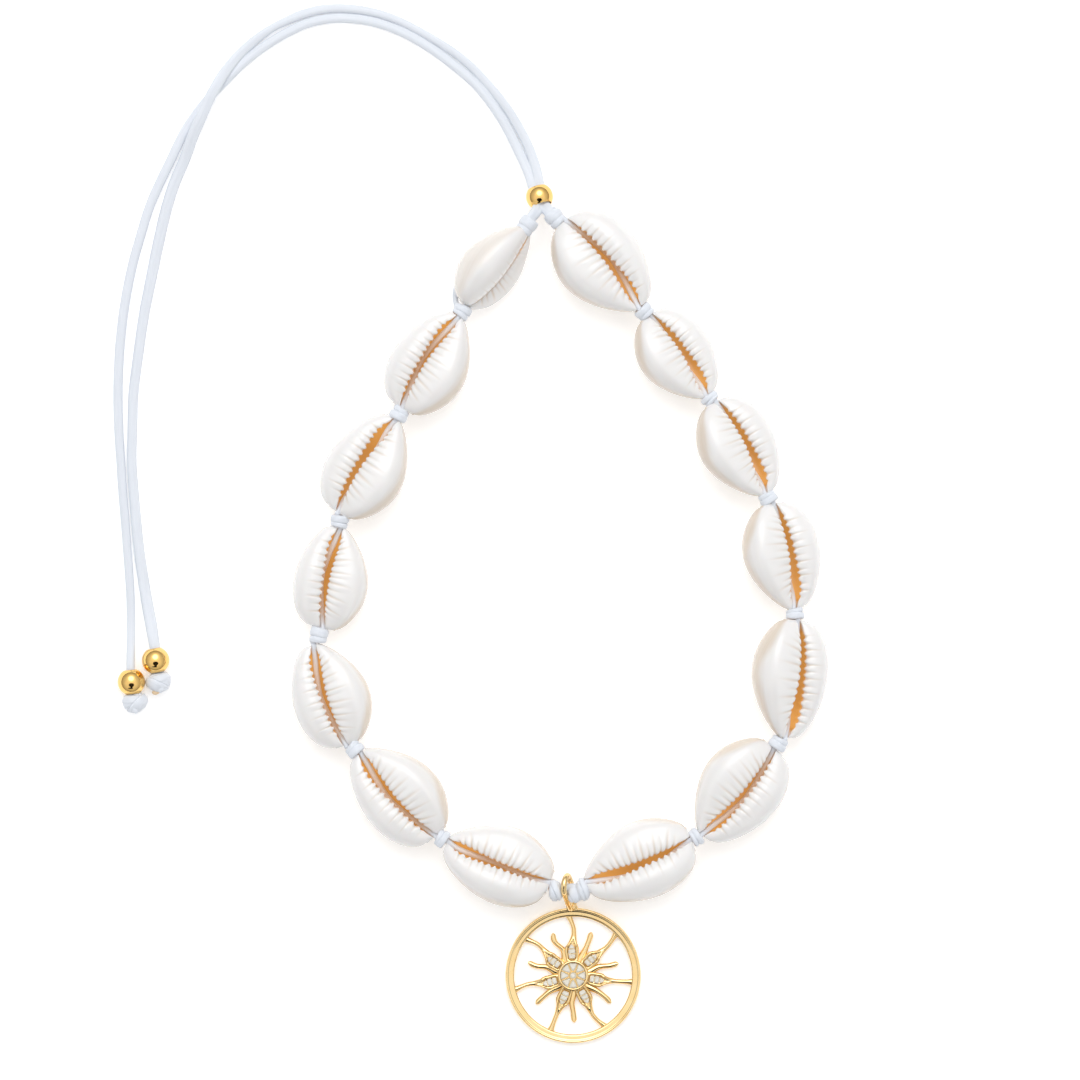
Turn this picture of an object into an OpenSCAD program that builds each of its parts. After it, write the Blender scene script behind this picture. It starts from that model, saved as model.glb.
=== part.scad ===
// Shell choker: fourteen cowries strung on a doubled waxed cord, with a slide bead that adjusts it,
// two beaded tails and a pierced sun pendant. It lies on its back, shell mouths up, on the plane z = 0.
// +X is the wearer's left as the choker is seen, +Y runs from the pendant to the slide bead. Millimetres.

/* [Shells] */
// Width of a shell over its length
shell_width = 0.72; // [0.68:0.01:0.74]
// Height of a shell over its length
shell_height = 0.52; // [0.48:0.01:0.54]
// Thickness of the shell wall at the dome
shell_wall = 1.3; // [1.0:0.1:1.5]
// Half the mouth's width at the middle of the shell
mouth_half = 0.65; // [0.6:0.05:0.75]
// Height of the teeth along the mouth
tooth = 0.22; // [0:0.02:0.3]

/* [Cord] */
// Diameter of the cord strung through the shells
thread_d = 1.0; // [0.9:0.1:1.1]
// Diameter of a tail, which is the doubled cord
tail_d = 1.5; // [1.2:0.1:1.5]
// Diameter of a knot between two shells
knot_d = 3.5; // [3.0:0.1:3.6]
// Diameter of the stopper knot under an end bead
end_knot_d = 4.7; // [4.2:0.1:4.8]
// Space left between a knot and its neighbours
knot_gap = 0.3; // [0.25:0.05:0.4]

/* [Beads] */
// Diameter of the slide bead
slide_bead_d = 5.2; // [4.8:0.1:5.4]
// Bore of the slide bead, for both tails
slide_bore_d = 3.6; // [3.5:0.1:3.7]
// Diameter of an end bead
end_bead_d = 5.3; // [5.0:0.1:5.5]
// Bore of an end bead
end_bore_d = 2.4; // [2.0:0.1:2.6]

/* [Pendant] */
// Diameter over the rim
pendant_d = 25.8; // [24:0.2:27]
// Width of the rim, seen from the front
rim_w = 1.7; // [1.4:0.1:2.0]
// Height of the rim
rim_h = 1.8; // [1.6:0.1:2.2]
// Diameter of the stone-set centre
centre_d = 6.0; // [5.8:0.1:6.2]
// Diameter of the bail's wire
bail_wire = 1.0; // [0.8:0.1:1.1]
// Inner width of the bail
bail_inner_w = 2.6; // [2.5:0.1:2.8]

/* [Hidden] */
sides = ["left", "right"];
shells_a_side = 7;

shell_white = [0.96, 0.95, 0.93];
cord_white = [0.90, 0.93, 0.98];
gold = [0.90, 0.72, 0.36];
stone_clear = [0.88, 0.90, 0.90, 0.8];

// A row for each shell, from the slide bead to the pendant. Columns: the middle's x and y, the length,
// how much wider it is than a common one, the heading of its front end in degrees, its roll to the
// outside in degrees, and the side that the thread leans to.
X = 0;
Y = 1;
LENGTH = 2;
WIDER = 3;
HEADING = 4;
ROLL = 5;
LEAN = 6;
left_shells = [
    [-12.1,  65.6, 18.0, 1.00,  50, -62, -1],
    [-24.4,  47.6, 20.0, 1.04,  58,  10,  1],
    [-36.4,  28.0, 20.3, 1.05,  58,  12,  1],
    [-43.2,   6.8, 19.1, 1.03,  80,  -2,  1],
    [-43.5, -15.4, 19.6, 1.05, 108,   4,  1],
    [-30.6, -34.1, 20.9, 1.02, 132,   5,  1],
    [-11.6, -47.1, 20.6, 1.03, 158, -17, -1]];
right_shells = [
    [  8.3,  66.1, 20.7, 1.08, 310,   3,  1],
    [ 22.4,  48.9, 18.3, 1.09, 305,  15, -1],
    [ 34.2,  31.4, 19.4, 1.08, 298,  20, -1],
    [ 42.4,  10.9, 19.9, 1.05, 281,  18, -1],
    [ 43.8, -12.3, 21.8, 0.95, 264,  25, -1],
    [ 33.8, -33.6, 20.9, 1.05, 230,   4,  1],
    [ 15.0, -46.9, 21.1, 0.99, 202, -14,  1]];

// The knot next to the slide bead and the one next to the pendant, for each side.
// Columns: x, y, length and the heading away from the bead.
KNOT_LENGTH = 2; KNOT_HEADING = 3;
top_knots = [[-5.7, 74.2, 2.0, 235], [0.1, 75.1, 2.0, 310]];
bottom_knots = [[-1.0, -51.9, 1.4, 345], [4.0, -51.9, 1.7, 195]];
bottom_knot_wider = 0.3;
knot_height = 7.0;
pendant_cord = [[0.0, -51.9, 7.0], [1.4, -52.0, 6.8], [2.8, -51.9, 7.0]];

// The slide bead, tilted so that the cord runs down through it to the surface
bead_at = [-3.8, 79.2, 4.2];
bead_heading = 107;
bead_tilt = 25;

// The tails' routes, from the top knots through the slide bead to the stopper knots
left_tail = [
    [-4.8, 75.6, 6.6], [-4.0, 76.8, 5.3], [-5.3, 81.2, 3.1], [-6.3, 84.3, 1.8], [-8.5, 89.1, 0.8],
    [-11.3, 94.4, 0.8], [-15.7, 100.3, 0.8], [-21.4, 105.2, 0.8], [-25.7, 108.2, 0.8],
    [-30.3, 110.7, 0.8], [-35.5, 112.5, 0.8], [-40.8, 113.2, 0.8], [-45.1, 112.9, 0.8],
    [-49.3, 111.7, 0.8], [-55.0, 108.6, 0.8], [-59.8, 105.0, 0.8], [-63.5, 101.4, 0.8],
    [-67.0, 97.6, 0.8], [-69.8, 93.9, 0.8], [-71.7, 90.8, 0.8], [-73.8, 86.4, 0.8],
    [-76.1, 81.6, 0.8], [-78.0, 77.1, 0.8], [-79.7, 71.5, 0.8], [-81.2, 66.0, 0.8],
    [-82.6, 58.8, 0.8], [-83.5, 51.0, 0.8], [-83.9, 43.0, 0.8], [-83.8, 35.5, 0.8],
    [-83.4, 28.7, 0.8], [-83.1, 23.7, 0.8], [-82.7, 18.6, 0.8], [-82.2, 12.0, 0.8],
    [-81.7, 5.0, 0.8], [-81.5, -1.0, 0.8], [-81.5, -6.0, 1.6], [-81.5, -10.3, 2.6], [-81.2, -15.2, 2.6]];
right_tail = [
    [-1.0, 76.4, 6.6], [-2.3, 77.2, 5.3], [-3.6, 81.7, 3.1], [-4.4, 85.2, 1.8], [-6.2, 90.0, 0.8],
    [-9.6, 95.9, 0.8], [-13.5, 100.8, 0.8], [-18.1, 105.4, 0.8], [-23.7, 109.2, 0.8],
    [-30.3, 112.7, 0.8], [-35.5, 114.4, 0.8], [-40.8, 115.1, 0.8], [-45.1, 114.9, 0.8],
    [-49.3, 113.8, 0.8], [-55.0, 111.3, 0.8], [-59.8, 107.8, 0.9], [-63.6, 103.6, 1.6],
    [-65.9, 99.8, 2.5], [-67.4, 96.9, 2.5], [-68.7, 94.0, 2.4], [-70.0, 91.1, 1.9], [-71.6, 86.8, 1.0],
    [-73.7, 81.8, 0.8], [-75.2, 77.0, 0.8], [-76.6, 71.0, 0.8], [-77.9, 64.5, 0.8],
    [-79.3, 57.2, 0.8], [-80.4, 49.5, 0.8], [-81.3, 42.0, 0.8], [-81.5, 35.0, 0.8],
    [-81.6, 28.8, 0.8], [-81.3, 23.7, 0.8], [-80.9, 18.6, 0.8], [-80.3, 12.0, 0.8],
    [-79.3, 4.8, 0.8], [-78.4, -0.5, 1.4], [-77.3, -6.1, 2.6], [-76.3, -11.3, 2.6]];

// End beads and stopper knots. Columns: x, y and the heading away from the tail.
end_beads = [[-81.4, -13.0, 277], [-76.8, -8.9, 281]];
end_knots = [[-80.8, -17.4, 280], [-75.8, -13.4, 281]];
END_HEADING = 2;
end_knot_length = 3.8;

pendant_at = [2.6, -68.9, 0];
$fn = 48;

// Vectors
function unit(v) = v / norm(v);
function mix(a, b, t) = a + (b - a) * t;
function heading(angle) = [cos(angle), sin(angle), 0];

// A shell is worked out at a length of 1, front end at u = 0.5, outer lip at +v, mouth at +w.
// part runs from 0 at the front end to 1 at the back end, where the shell is fuller.
stations = 20;
fuller = 1.23;
end_lip = 0.065;
end_inner = 0.06;
end_dome = 0.065;
end_base = 0.045;
end_wall = 0.022;
dome_share = 0.67;
mouth_offset = 0.05;
function swell(part) = sin(180 * pow(part, fuller));
// A half width or height grows from its size at the ends, fast where bluntness is low
function grown(end_size, full_size, part, bluntness) =
    end_size + (full_size - end_size) * pow(swell(part), bluntness);
function lip_side(part, width) = grown(end_lip, width / 2, part, 0.5);
function inner_side(part, width) = grown(end_inner, width / 2, part, 0.66);
function dome(part) = grown(end_dome, dome_share * shell_height, part, 0.6);
function base(part) = grown(end_base, (1 - dome_share) * shell_height, part, 0.6);
function mouth_middle(part) = mouth_offset * pow(sin(180 * part), 0.7);
// How wide the mouth is along the shell, against its middle: part and share
mouth_flare = [[0, 1.3], [0.08, 1.5], [0.2, 1.4], [0.35, 1.15], [0.5, 1], [0.75, 0.95], [0.9, 0.95],
               [1, 1.3]];
function mouth_gap(part, size) = mouth_half / size * lookup(part, mouth_flare);

// The section across a shell is a C: over the outside from lip to lip, then back along the inside
function shell_section(part, size, width, bite) =
    let (full = swell(part),
         out = lip_side(part, width), in = -inner_side(part, width), low = -dome(part), top = base(part),
         wall = mix(end_wall, shell_wall / size, full),
         edge_out = mouth_middle(part) + mouth_gap(part, size) - bite / size,
         edge_in = mouth_middle(part) - mouth_gap(part, size) + bite / size,
         edge_top = top - 0.04 * sqrt(full),
         edge_low = edge_top - 0.025 - 0.035 * sqrt(full),
         tuck = 0.012 * full,
         floor_low = (low + wall) * mix(1, 0.85, full))
    [[edge_out + tuck, edge_low], [edge_out, edge_top],
     [mix(edge_out, out, 0.36), top], [mix(edge_out, out, 0.78), 0.74 * top],
     [out, 0.08 * low], [0.86 * out, 0.52 * low], [0.52 * out, 0.87 * low], [0, low],
     [0.52 * in, 0.87 * low], [0.86 * in, 0.52 * low], [in, 0.08 * low],
     [mix(edge_in, in, 0.78), 0.74 * top], [mix(edge_in, in, 0.36), top],
     [edge_in, edge_top], [edge_in - tuck, edge_low],
     [in + wall, 0.1 * top], [0.62 * (in + wall), floor_low],
     [0.62 * (out - wall), floor_low], [out - wall, 0.1 * top]];

// Places a point of a shell: rolled about its length, then turned to its heading
function placed(shell, p) =
    let (side = p.y * cos(shell[ROLL]) + p.z * sin(shell[ROLL]),
         up = p.z * cos(shell[ROLL]) - p.y * sin(shell[ROLL]),
         along = heading(shell[HEADING]), across = heading(shell[HEADING] + 90))
    p.x * along + side * across + [shell[X], shell[Y], up];

function station(i) = mix(i / stations, (1 - cos(180 * i / stations)) / 2, 0.5);
function toothed(i) = i > 1 && i < stations - 1 ? tooth * (i % 2 == 0 ? 1 : -1) : 0;
function shell_points(shell) =
    [for (i = [stations:-1:0],
          p = shell_section(station(i), shell[LENGTH], shell_width * shell[WIDER], toothed(i)))
        placed(shell, shell[LENGTH] * [0.5 - station(i), p.x, p.y])];

// How far a shell is lifted so that its lowest point rests on the surface
function lift(shell) = -min([for (p = shell_points(shell)) p.z]);
function tip(shell, end) = placed(shell, [end * shell[LENGTH] / 2, 0, 0]) + [0, 0, lift(shell)];

// Faces of rings of n points joined one to the next. The first and last ring are closed flat by
// the convex pieces in ends, which number the points of a ring.
function ring_faces(rings, n, ends) =
    concat([for (piece = ends) [for (k = [len(piece) - 1:-1:0]) piece[k]]],
           [for (i = [0:rings - 2], k = [0:n - 1])
               [i * n + k, i * n + (k + 1) % n, (i + 1) * n + (k + 1) % n, (i + 1) * n + k]],
           [for (piece = ends) [for (k = piece) (rings - 1) * n + k]]);

// The wall at a shell's end, from the outer lip round the back to the inner lip
shell_ends = [[0, 1, 2, 3], [0, 3, 4, 18], [4, 5, 17, 18], [5, 6, 7, 17], [7, 8, 16, 17],
              [8, 9, 15, 16], [9, 10, 11, 15], [11, 14, 15], [11, 12, 13, 14]];

module cowrie(shell) {
    points = shell_points(shell);
    raised = lift(shell);
    rings = stations + 1;
    color(shell_white)
        polyhedron([for (p = points) p + [0, 0, raised]],
                   ring_faces(rings, len(points) / rings, shell_ends), convexity = 6);
}

// A cord swept along its own points
cord_sides = 8;
function cord_ring(route, i, r) =
    let (along = unit(route[min(i + 1, len(route) - 1)] - route[max(i - 1, 0)]),
         side = unit(cross(along, [0, 0, 1])), up = cross(side, along))
    [for (k = [0:cord_sides - 1])
        let (turn = 360 * k / cord_sides) route[i] + r * (cos(turn) * side + sin(turn) * up)];
module cord(route, d) {
    color(cord_white)
        polyhedron([for (i = [0:len(route) - 1]) each cord_ring(route, i, d / 2)],
                   ring_faces(len(route), cord_sides, [[for (k = [0:cord_sides - 1]) k]]), convexity = 4);
}

// The thread enters one end of a shell, leans under a lip and leaves at the other end
thread_parts = [0.01, 0.2, 0.4, 0.6, 0.8, 0.99];
thread_lean = 0.11;
thread_sag = 0.03;
function thread_route(shell) =
    [for (part = thread_parts)
        let (bend = sin(180 * part), leaning = thread_lean * shell[LEAN] * pow(bend, 1.5))
        placed(shell, shell[LENGTH] * [0.5 - part, leaning, -thread_sag * bend]) + [0, 0, lift(shell)]];
module thread(shells) {
    for (shell = shells) cord(thread_route(shell), thread_d);
}

// Turns +z to a direction
module aim(direction) {
    rotate([0, acos(direction.z / norm(direction)), atan2(direction.y, direction.x)]) children();
}

// A knot is two round turns of cord over a core
core_inset = 0.2;
module knot(at, direction, size, width) {
    turn_r = min(0.36 * size, width / 4);
    color(cord_white) translate(at) aim(direction) rotate_extrude() {
        for (end = [-1, 1]) translate([width / 2 - turn_r, end * (size / 2 - turn_r)]) circle(turn_r);
        translate([0, core_inset - size / 2]) square([width / 2 - turn_r, size - 2 * core_inset]);
    }
}

// The knot between two shells lies halfway between their tips, along the mean of their headings.
// Where a shell stands at an angle to it, the edge of the shell's end needs more room.
tip_half = 1.2;
function room(along, shell, end) =
    knot_gap + tip_half * norm(cross(along, heading(shell[HEADING])));
module knot_between(from, to, end) {
    p = tip(from, end);
    q = tip(to, -end);
    along = unit(unit(q - p) + end * unit(heading(from[HEADING]) + heading(to[HEADING])));
    near = room(along, from, end);
    far = room(along, to, end);
    size = (q - p) * along - near - far;
    knot((p + q) / 2 + along * (near - far) / 2, along, size, knot_d);
}

module bead(at, direction, size, bore) {
    color(gold) translate(at) aim(direction) difference() {
        sphere(d = size);
        cylinder(d = bore, h = 2 * size, center = true);
    }
}

// Sun pendant. Rays are wavy blades; each long one reaches the rim and carries a leaf set with stones.
rays = 7;
first_ray = 93;
rim_inner = pendant_d / 2 - rim_w;
// The rim has a narrow raised edge with bevels, and inside it a face that dips toward the middle
rim_edge = 0.4;
rim_bevel = 0.12;
rim_sunk = 0.18;
rim_dish = 0.2;
ray_z = 0.4;
ray_h = 0.9;
leaf_h = 1.3;
leaf_reach = 7.2;
centre_h = 1.5;
bezel_w = 0.55;
stone_gap = 0.1;
// Half the width of each ray at distances from the centre
long_ray = [[2.5, 1.1], [3.6, 1.25], [5.2, 1.35], [6.4, 0.8], [7.8, 0.5], [8.8, 0.46], [9.8, 0.46],
            [10.8, 0.55], [11.5, 0.75]];
short_ray = [[2.5, 0.9], [4.0, 0.65], [5.5, 0.48], [6.4, 0.46], [7.2, 0.46], [8.0, 0.5], [8.5, 0.46],
             [8.75, 0.28]];
leaf = [[3.2, 0.6], [4.2, 0.66], [5.4, 0.5], [6.4, 0.25], [7.0, 0.08]];
// How far each ray bends to its left, clockwise from the first: long ones at their middle and their
// rim end, short ones near their root, past their middle and at their tip
long_bends = [[-0.6, 0.25], [-0.2, 0.55], [0.35, 0.7], [-0.3, 0.7], [0, 0.1], [-0.7, -0.4], [-0.9, -0.37]];
short_bends = [[-0.45, 0.3, 0], [0, 0.1, 0.3], [0.45, 0.2, 0.25], [0.45, 0.55, 0.33], [-0.3, 0, 0.12],
               [-0.4, -0.4, -0.27], [-0.45, -0.25, -0.55]];
straight = [[0, 0], [1, 0]];
long_bend_at = [8.6, 11.4];
short_bend_at = [5.2, 7.2, 8.8];
long_straight = 5.2;
short_straight = 3.4;
// How far a short ray is turned from halfway between two long ones
short_ray_turn = -2.5;

// An outline along a ray: out along one edge, back along the other, bending from side to side
function bend_line(straight, places, bends) =
    concat([[0, 0], [straight, 0]], [for (i = [0:len(places) - 1]) [places[i], bends[i]]]);
function ray_edge(widths, line, sign) =
    [for (row = widths) [row[0], lookup(row[0], line) + sign * row[1]]];
function reversed(list) = [for (i = [len(list) - 1:-1:0]) list[i]];
module blade(widths, line) {
    polygon(concat(ray_edge(widths, line, -1), reversed(ray_edge(widths, line, 1))));
}
function ray_angle(k) = first_ray - k * 360 / rays;
module long_blades() {
    for (k = [0:rays - 1]) rotate(ray_angle(k))
        blade(long_ray, bend_line(long_straight, long_bend_at, long_bends[k]));
}
module short_blades() {
    for (k = [0:rays - 1]) rotate(ray_angle(k) + 180 / rays + short_ray_turn)
        blade(short_ray, bend_line(short_straight, short_bend_at, short_bends[k]));
}

// Stones: distance from the pendant's centre and diameter
leaf_stones = [[3.75, 0.84], [4.7, 0.78], [5.55, 0.6]];
centre_stone_d = 1.2;
wedge_stones = 8;
wedge_stone_d = 1.04;
wedge_stone_r = 1.7;
stone_h = 0.4;
table_share = 0.6;
module cut_stone(d) {
    color(stone_clear) cylinder(d1 = d, d2 = table_share * d, h = stone_h, $fn = 8);
}

// The bail is a long link of wire around the cord, soldered to the top of the rim
bail_top = [-1.6, 18.4, 8.7];
bail_foot = [0.1, 12.5, 1.3];
bail_lean = -30;
solder_d = 1.7;
solder_inset = 0.3;
solder_sink = 0.2;
module bail() {
    run = bail_top - bail_foot;
    turn_r = (bail_inner_w + bail_wire) / 2;
    straight = norm(run) - 2 * turn_r;
    translate(bail_foot) aim(run) rotate(bail_lean) translate([0, 0, turn_r]) {
        for (side = [-1, 1]) translate([side * turn_r, 0, 0]) cylinder(d = bail_wire, h = straight);
        translate([0, 0, straight]) rotate([90, 0, 0])
            rotate_extrude(angle = 180) translate([turn_r, 0]) circle(d = bail_wire);
        rotate([90, 0, 0])
            rotate_extrude(angle = -180) translate([turn_r, 0]) circle(d = bail_wire);
    }
}

module sun_pendant() {
    color(gold) translate(pendant_at) {
        rotate_extrude($fn = 96) translate([rim_inner, 0]) polygon([
            [0, 0], [rim_w, 0], [rim_w, rim_h - 2 * rim_bevel], [rim_w - rim_bevel, rim_h],
            [rim_w - rim_edge, rim_h], [rim_w - rim_edge - rim_bevel, rim_h - rim_sunk],
            [rim_bevel, rim_h - rim_sunk - rim_dish], [0, rim_h - rim_sunk - rim_dish - rim_bevel]]);
        translate([0, 0, ray_z]) {
            linear_extrude(ray_h) {
                long_blades();
                short_blades();
                circle(d = centre_d);
            }
            linear_extrude(leaf_h) difference() {
                intersection() {
                    long_blades();
                    circle(r = leaf_reach);
                }
                for (k = [0:rays - 1]) rotate(ray_angle(k)) blade(leaf, straight);
                circle(d = centre_d - bezel_w);
            }
            linear_extrude(centre_h) difference() {
                circle(d = centre_d);
                circle(d = centre_d - 2 * bezel_w);
            }
        }
        bail();
        translate([bail_foot.x, pendant_d / 2 - solder_inset, rim_h - solder_sink]) sphere(d = solder_d);
    }
}

// Stones stand just clear of the metal that holds them
module centre_stones() {
    translate(pendant_at + [0, 0, ray_z + ray_h + stone_gap]) {
        cut_stone(centre_stone_d);
        for (k = [1:wedge_stones])
            rotate(360 * k / wedge_stones) translate([wedge_stone_r, 0, 0]) cut_stone(wedge_stone_d);
    }
}
module ray_stones() {
    translate(pendant_at + [0, 0, ray_z + ray_h + stone_gap])
        for (k = [0:rays - 1], stone = leaf_stones)
            rotate(ray_angle(k)) translate([stone[0], 0, 0]) cut_stone(stone[1]);
}

// One side of the choker: s is 0 for the left and 1 for the right
module side_shell(s, i) {
    cowrie([left_shells, right_shells][s][i - 1]);
}
module side_knot(s, i) {
    shells = [left_shells, right_shells][s];
    end_knot = i == 1 ? top_knots[s] : bottom_knots[s];
    if (i == 1 || i == shells_a_side + 1)
        knot([end_knot.x, end_knot.y, knot_height], heading(end_knot[KNOT_HEADING]), end_knot[KNOT_LENGTH],
             knot_d + (i == 1 ? 0 : bottom_knot_wider));
    else
        knot_between(shells[i - 2], shells[i - 1], s == 0 ? -1 : 1);
}

for (s = [0, 1]) {
    for (i = [1:shells_a_side])
        side_shell(s, i);
    for (i = [1:shells_a_side + 1])
        side_knot(s, i);
    thread([left_shells, right_shells][s]);
    cord([left_tail, right_tail][s], tail_d);
    bead([end_beads[s].x, end_beads[s].y, end_bead_d / 2], heading(end_beads[s][END_HEADING]),
             end_bead_d, end_bore_d);
    knot([end_knots[s].x, end_knots[s].y, end_knot_d / 2], heading(end_knots[s][END_HEADING]),
             end_knot_length, end_knot_d);
}
cord(pendant_cord, tail_d);  // thread_pendant
bead(bead_at, heading(bead_heading) - [0, 0, tan(bead_tilt)], slide_bead_d, slide_bore_d);  // slide_bead
sun_pendant();
centre_stones();
ray_stones();
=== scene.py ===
# %% [markdown]
# This choker is fourteen cowries knotted on a white cord, with two beaded tails and a sun pendant.
# The imported model already holds every piece at its real size and place. Here each piece gets its
# final look, and the model is loaded first.

# %% Load the imported choker
import math

import bmesh
import bpy
import numpy as np
from mathutils import Matrix, Vector


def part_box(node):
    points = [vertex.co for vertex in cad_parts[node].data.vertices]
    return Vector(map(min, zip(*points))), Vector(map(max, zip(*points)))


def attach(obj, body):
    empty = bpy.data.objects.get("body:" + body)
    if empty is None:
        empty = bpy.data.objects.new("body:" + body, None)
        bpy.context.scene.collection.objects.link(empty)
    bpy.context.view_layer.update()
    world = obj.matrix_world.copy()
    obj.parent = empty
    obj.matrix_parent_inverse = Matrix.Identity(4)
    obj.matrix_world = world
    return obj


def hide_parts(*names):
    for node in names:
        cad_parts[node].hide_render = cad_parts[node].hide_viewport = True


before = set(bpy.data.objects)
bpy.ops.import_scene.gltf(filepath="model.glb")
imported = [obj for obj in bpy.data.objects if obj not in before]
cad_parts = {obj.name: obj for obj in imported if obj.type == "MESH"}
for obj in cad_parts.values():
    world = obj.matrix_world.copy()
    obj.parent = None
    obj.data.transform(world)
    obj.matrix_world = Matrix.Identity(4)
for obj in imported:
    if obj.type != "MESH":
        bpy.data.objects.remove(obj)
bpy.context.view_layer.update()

MM = 0.001

# %% [markdown]
# The choker lies flat and is looked at from straight above. A long lens far away shows it with hardly
# any perspective, as a product picture does. The frame is 205.2 mm wide at the height of the shells.

# %% The camera above the choker
FRAME_WIDTH = 205.2
LOOKED_AT = Vector((-3.7, 14.0, 4.0))
CAMERA_HEIGHT = 1500.0
SENSOR_WIDTH = 36.0

scene = bpy.context.scene
camera_data = bpy.data.cameras.new("camera")
camera_data.sensor_width = SENSOR_WIDTH
camera_data.lens = SENSOR_WIDTH * CAMERA_HEIGHT / FRAME_WIDTH
camera_data.clip_end = 10
camera = bpy.data.objects.new("camera", camera_data)
camera.location = (LOOKED_AT + Vector((0, 0, CAMERA_HEIGHT))) * MM
scene.collection.objects.link(camera)
scene.camera = camera
print("lens of", round(camera_data.lens), "mm, looking straight down")

# %% [markdown]
# Most pieces are drawn by the same few steps: a line is smoothed, a section is carried along it, and
# the rings of points are joined by faces. Plain arrays do this faster than modifiers, and each point
# can carry a mark, such as how deep it lies in a groove, which the finish reads later.

# %% Lines
def full_turn(count):
    """Angles in that many even steps round a full turn."""
    return np.linspace(0, 2 * np.pi, count, endpoint=False)


def distances(line):
    """How far along the line each of its points is."""
    return np.append(0, np.cumsum(np.linalg.norm(np.diff(line, axis=0), axis=1)))


def length_of(line):
    return float(distances(line)[-1])


def smooth_line(points, step):
    """A smooth line through the points, in even steps of about that many millimetres."""
    points = np.array(points, float)
    ends = np.vstack([2 * points[0] - points[1], points, 2 * points[-1] - points[-2]])
    a, b, c, d = ends[:-3, None], ends[1:-2, None], ends[2:-1, None], ends[3:, None]
    t = np.linspace(0, 1, 12, endpoint=False)[None, :, None]
    bent = 2 * b + (c - a) * t + (2 * a - 5 * b + 4 * c - d) * t**2 + (3 * b - a - 3 * c + d) * t**3
    line = np.vstack([bent.reshape(-1, points.shape[1]) / 2, points[-1]])
    far = distances(line)
    even = np.linspace(0, far[-1], max(3, round(far[-1] / step) + 1))
    return np.stack([np.interp(even, far, column) for column in line.T], axis=1)


print("a full turn in four:", full_turn(4).round(2))

# %% Rings and faces
def unit(vectors):
    return vectors / np.linalg.norm(vectors, axis=-1, keepdims=True)


def spun(points, angle):
    """Points turned in the plane of their first two numbers, by an angle in radians."""
    c, s = np.cos(angle), np.sin(angle)
    x, y = points[..., 0], points[..., 1]
    return np.stack([x * c - y * s, x * s + y * c, *np.moveaxis(points[..., 2:], -1, 0)], axis=-1)


def carried(line, section, closed=False, up=(0, 0, 1)):
    """Rings of points: the section, given as sideways and upward offsets, carried along the line."""
    ahead = np.roll(line, -1, 0) - np.roll(line, 1, 0) if closed else np.gradient(line, axis=0)
    ahead = unit(ahead)
    side = unit(np.cross(ahead, up))
    top = np.cross(side, ahead)
    section = np.asarray(section)
    return line[:, None] + section[..., :1] * side[:, None] + section[..., 1:] * top[:, None]


def ring_faces(rings, around, closed=False, capped=True):
    """Faces that join rings of points, each ring closed. Open rows of rings get flat ends."""
    faces = []
    for i in range(rings if closed else rings - 1):
        j = (i + 1) % rings
        for k in range(around):
            n = (k + 1) % around
            faces.append((i * around + k, j * around + k, j * around + n, i * around + n))
    if capped and not closed:
        faces.append(tuple(range(around)))
        faces.append(tuple(range(rings * around - 1, (rings - 1) * around - 1, -1)))
    return faces


def tube(line, section, closed=False, up=(0, 0, 1), marks=None):
    """A part of a piece: its points, its faces and its marks."""
    rings = carried(line, section, closed, up)
    return rings.reshape(-1, 3), ring_faces(*rings.shape[:2], closed), marks or {}


def ellipse(half_width, half_height, around, squareness=2.0):
    """An oval section. A squareness over 2 makes it more like a rounded rectangle."""
    turn = full_turn(around)
    bend = 2 / squareness
    across = np.sign(np.cos(turn)) * np.abs(np.cos(turn)) ** bend
    upward = np.sign(np.sin(turn)) * np.abs(np.sin(turn)) ** bend
    return np.stack([half_width * across, half_height * upward], axis=1)


print("a ring of", len(ellipse(1, 1, 12)), "points")

# %% Making a piece from its parts
triangles_made = {}


def make_piece(name, parts, finish, stands_for=(), smooth=True):
    """Joins parts into one object in metres, turns its faces outward and lets it ride on the part."""
    points, faces, start = [], [], 0
    for part_points, part_faces, _ in parts:
        points.append(np.asarray(part_points))
        faces += [[start + int(i) for i in face] for face in part_faces]
        start += len(part_points)
    mesh = bpy.data.meshes.new(name)
    mesh.from_pydata(np.vstack(points) * MM, [], faces)
    for mark in sorted({mark for _, _, marks in parts for mark in marks}):
        values = [np.ravel(marks.get(mark, np.zeros(len(p)))) for p, _, marks in parts]
        layer = mesh.attributes.new(mark, "FLOAT", "POINT")
        layer.data.foreach_set("value", np.concatenate(values).astype(np.float32))
    shaping = bmesh.new()
    shaping.from_mesh(mesh)
    bmesh.ops.recalc_face_normals(shaping, faces=shaping.faces)
    shaping.to_mesh(mesh)
    shaping.free()
    mesh.polygons.foreach_set("use_smooth", [smooth] * len(mesh.polygons))
    mesh.materials.append(finish)
    piece = bpy.data.objects.new(name, mesh)
    scene.collection.objects.link(piece)
    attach(piece, "root")
    if stands_for:
        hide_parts(*stands_for)
    triangles_made[name] = sum(len(polygon.vertices) - 2 for polygon in mesh.polygons)
    return piece


print("helpers for lines, tubes and pieces are ready")

# %% [markdown]
# A finish is a tree of nodes. Colours are picked as they look on a screen, in sRGB hex, but the
# renderer counts light, so one function turns them to linear values. Another adds a node with its
# settings and links, which keeps each finish down to a few readable lines.

# %% Colours and nodes
def linear(hex_colour):
    """An sRGB hex colour as linear red, green, blue and alpha."""
    parts = [int(hex_colour[i:i + 2], 16) / 255 for i in (1, 3, 5)]
    return [c / 12.92 if c <= 0.04045 else ((c + 0.055) / 1.055) ** 2.4 for c in parts] + [1.0]


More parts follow.
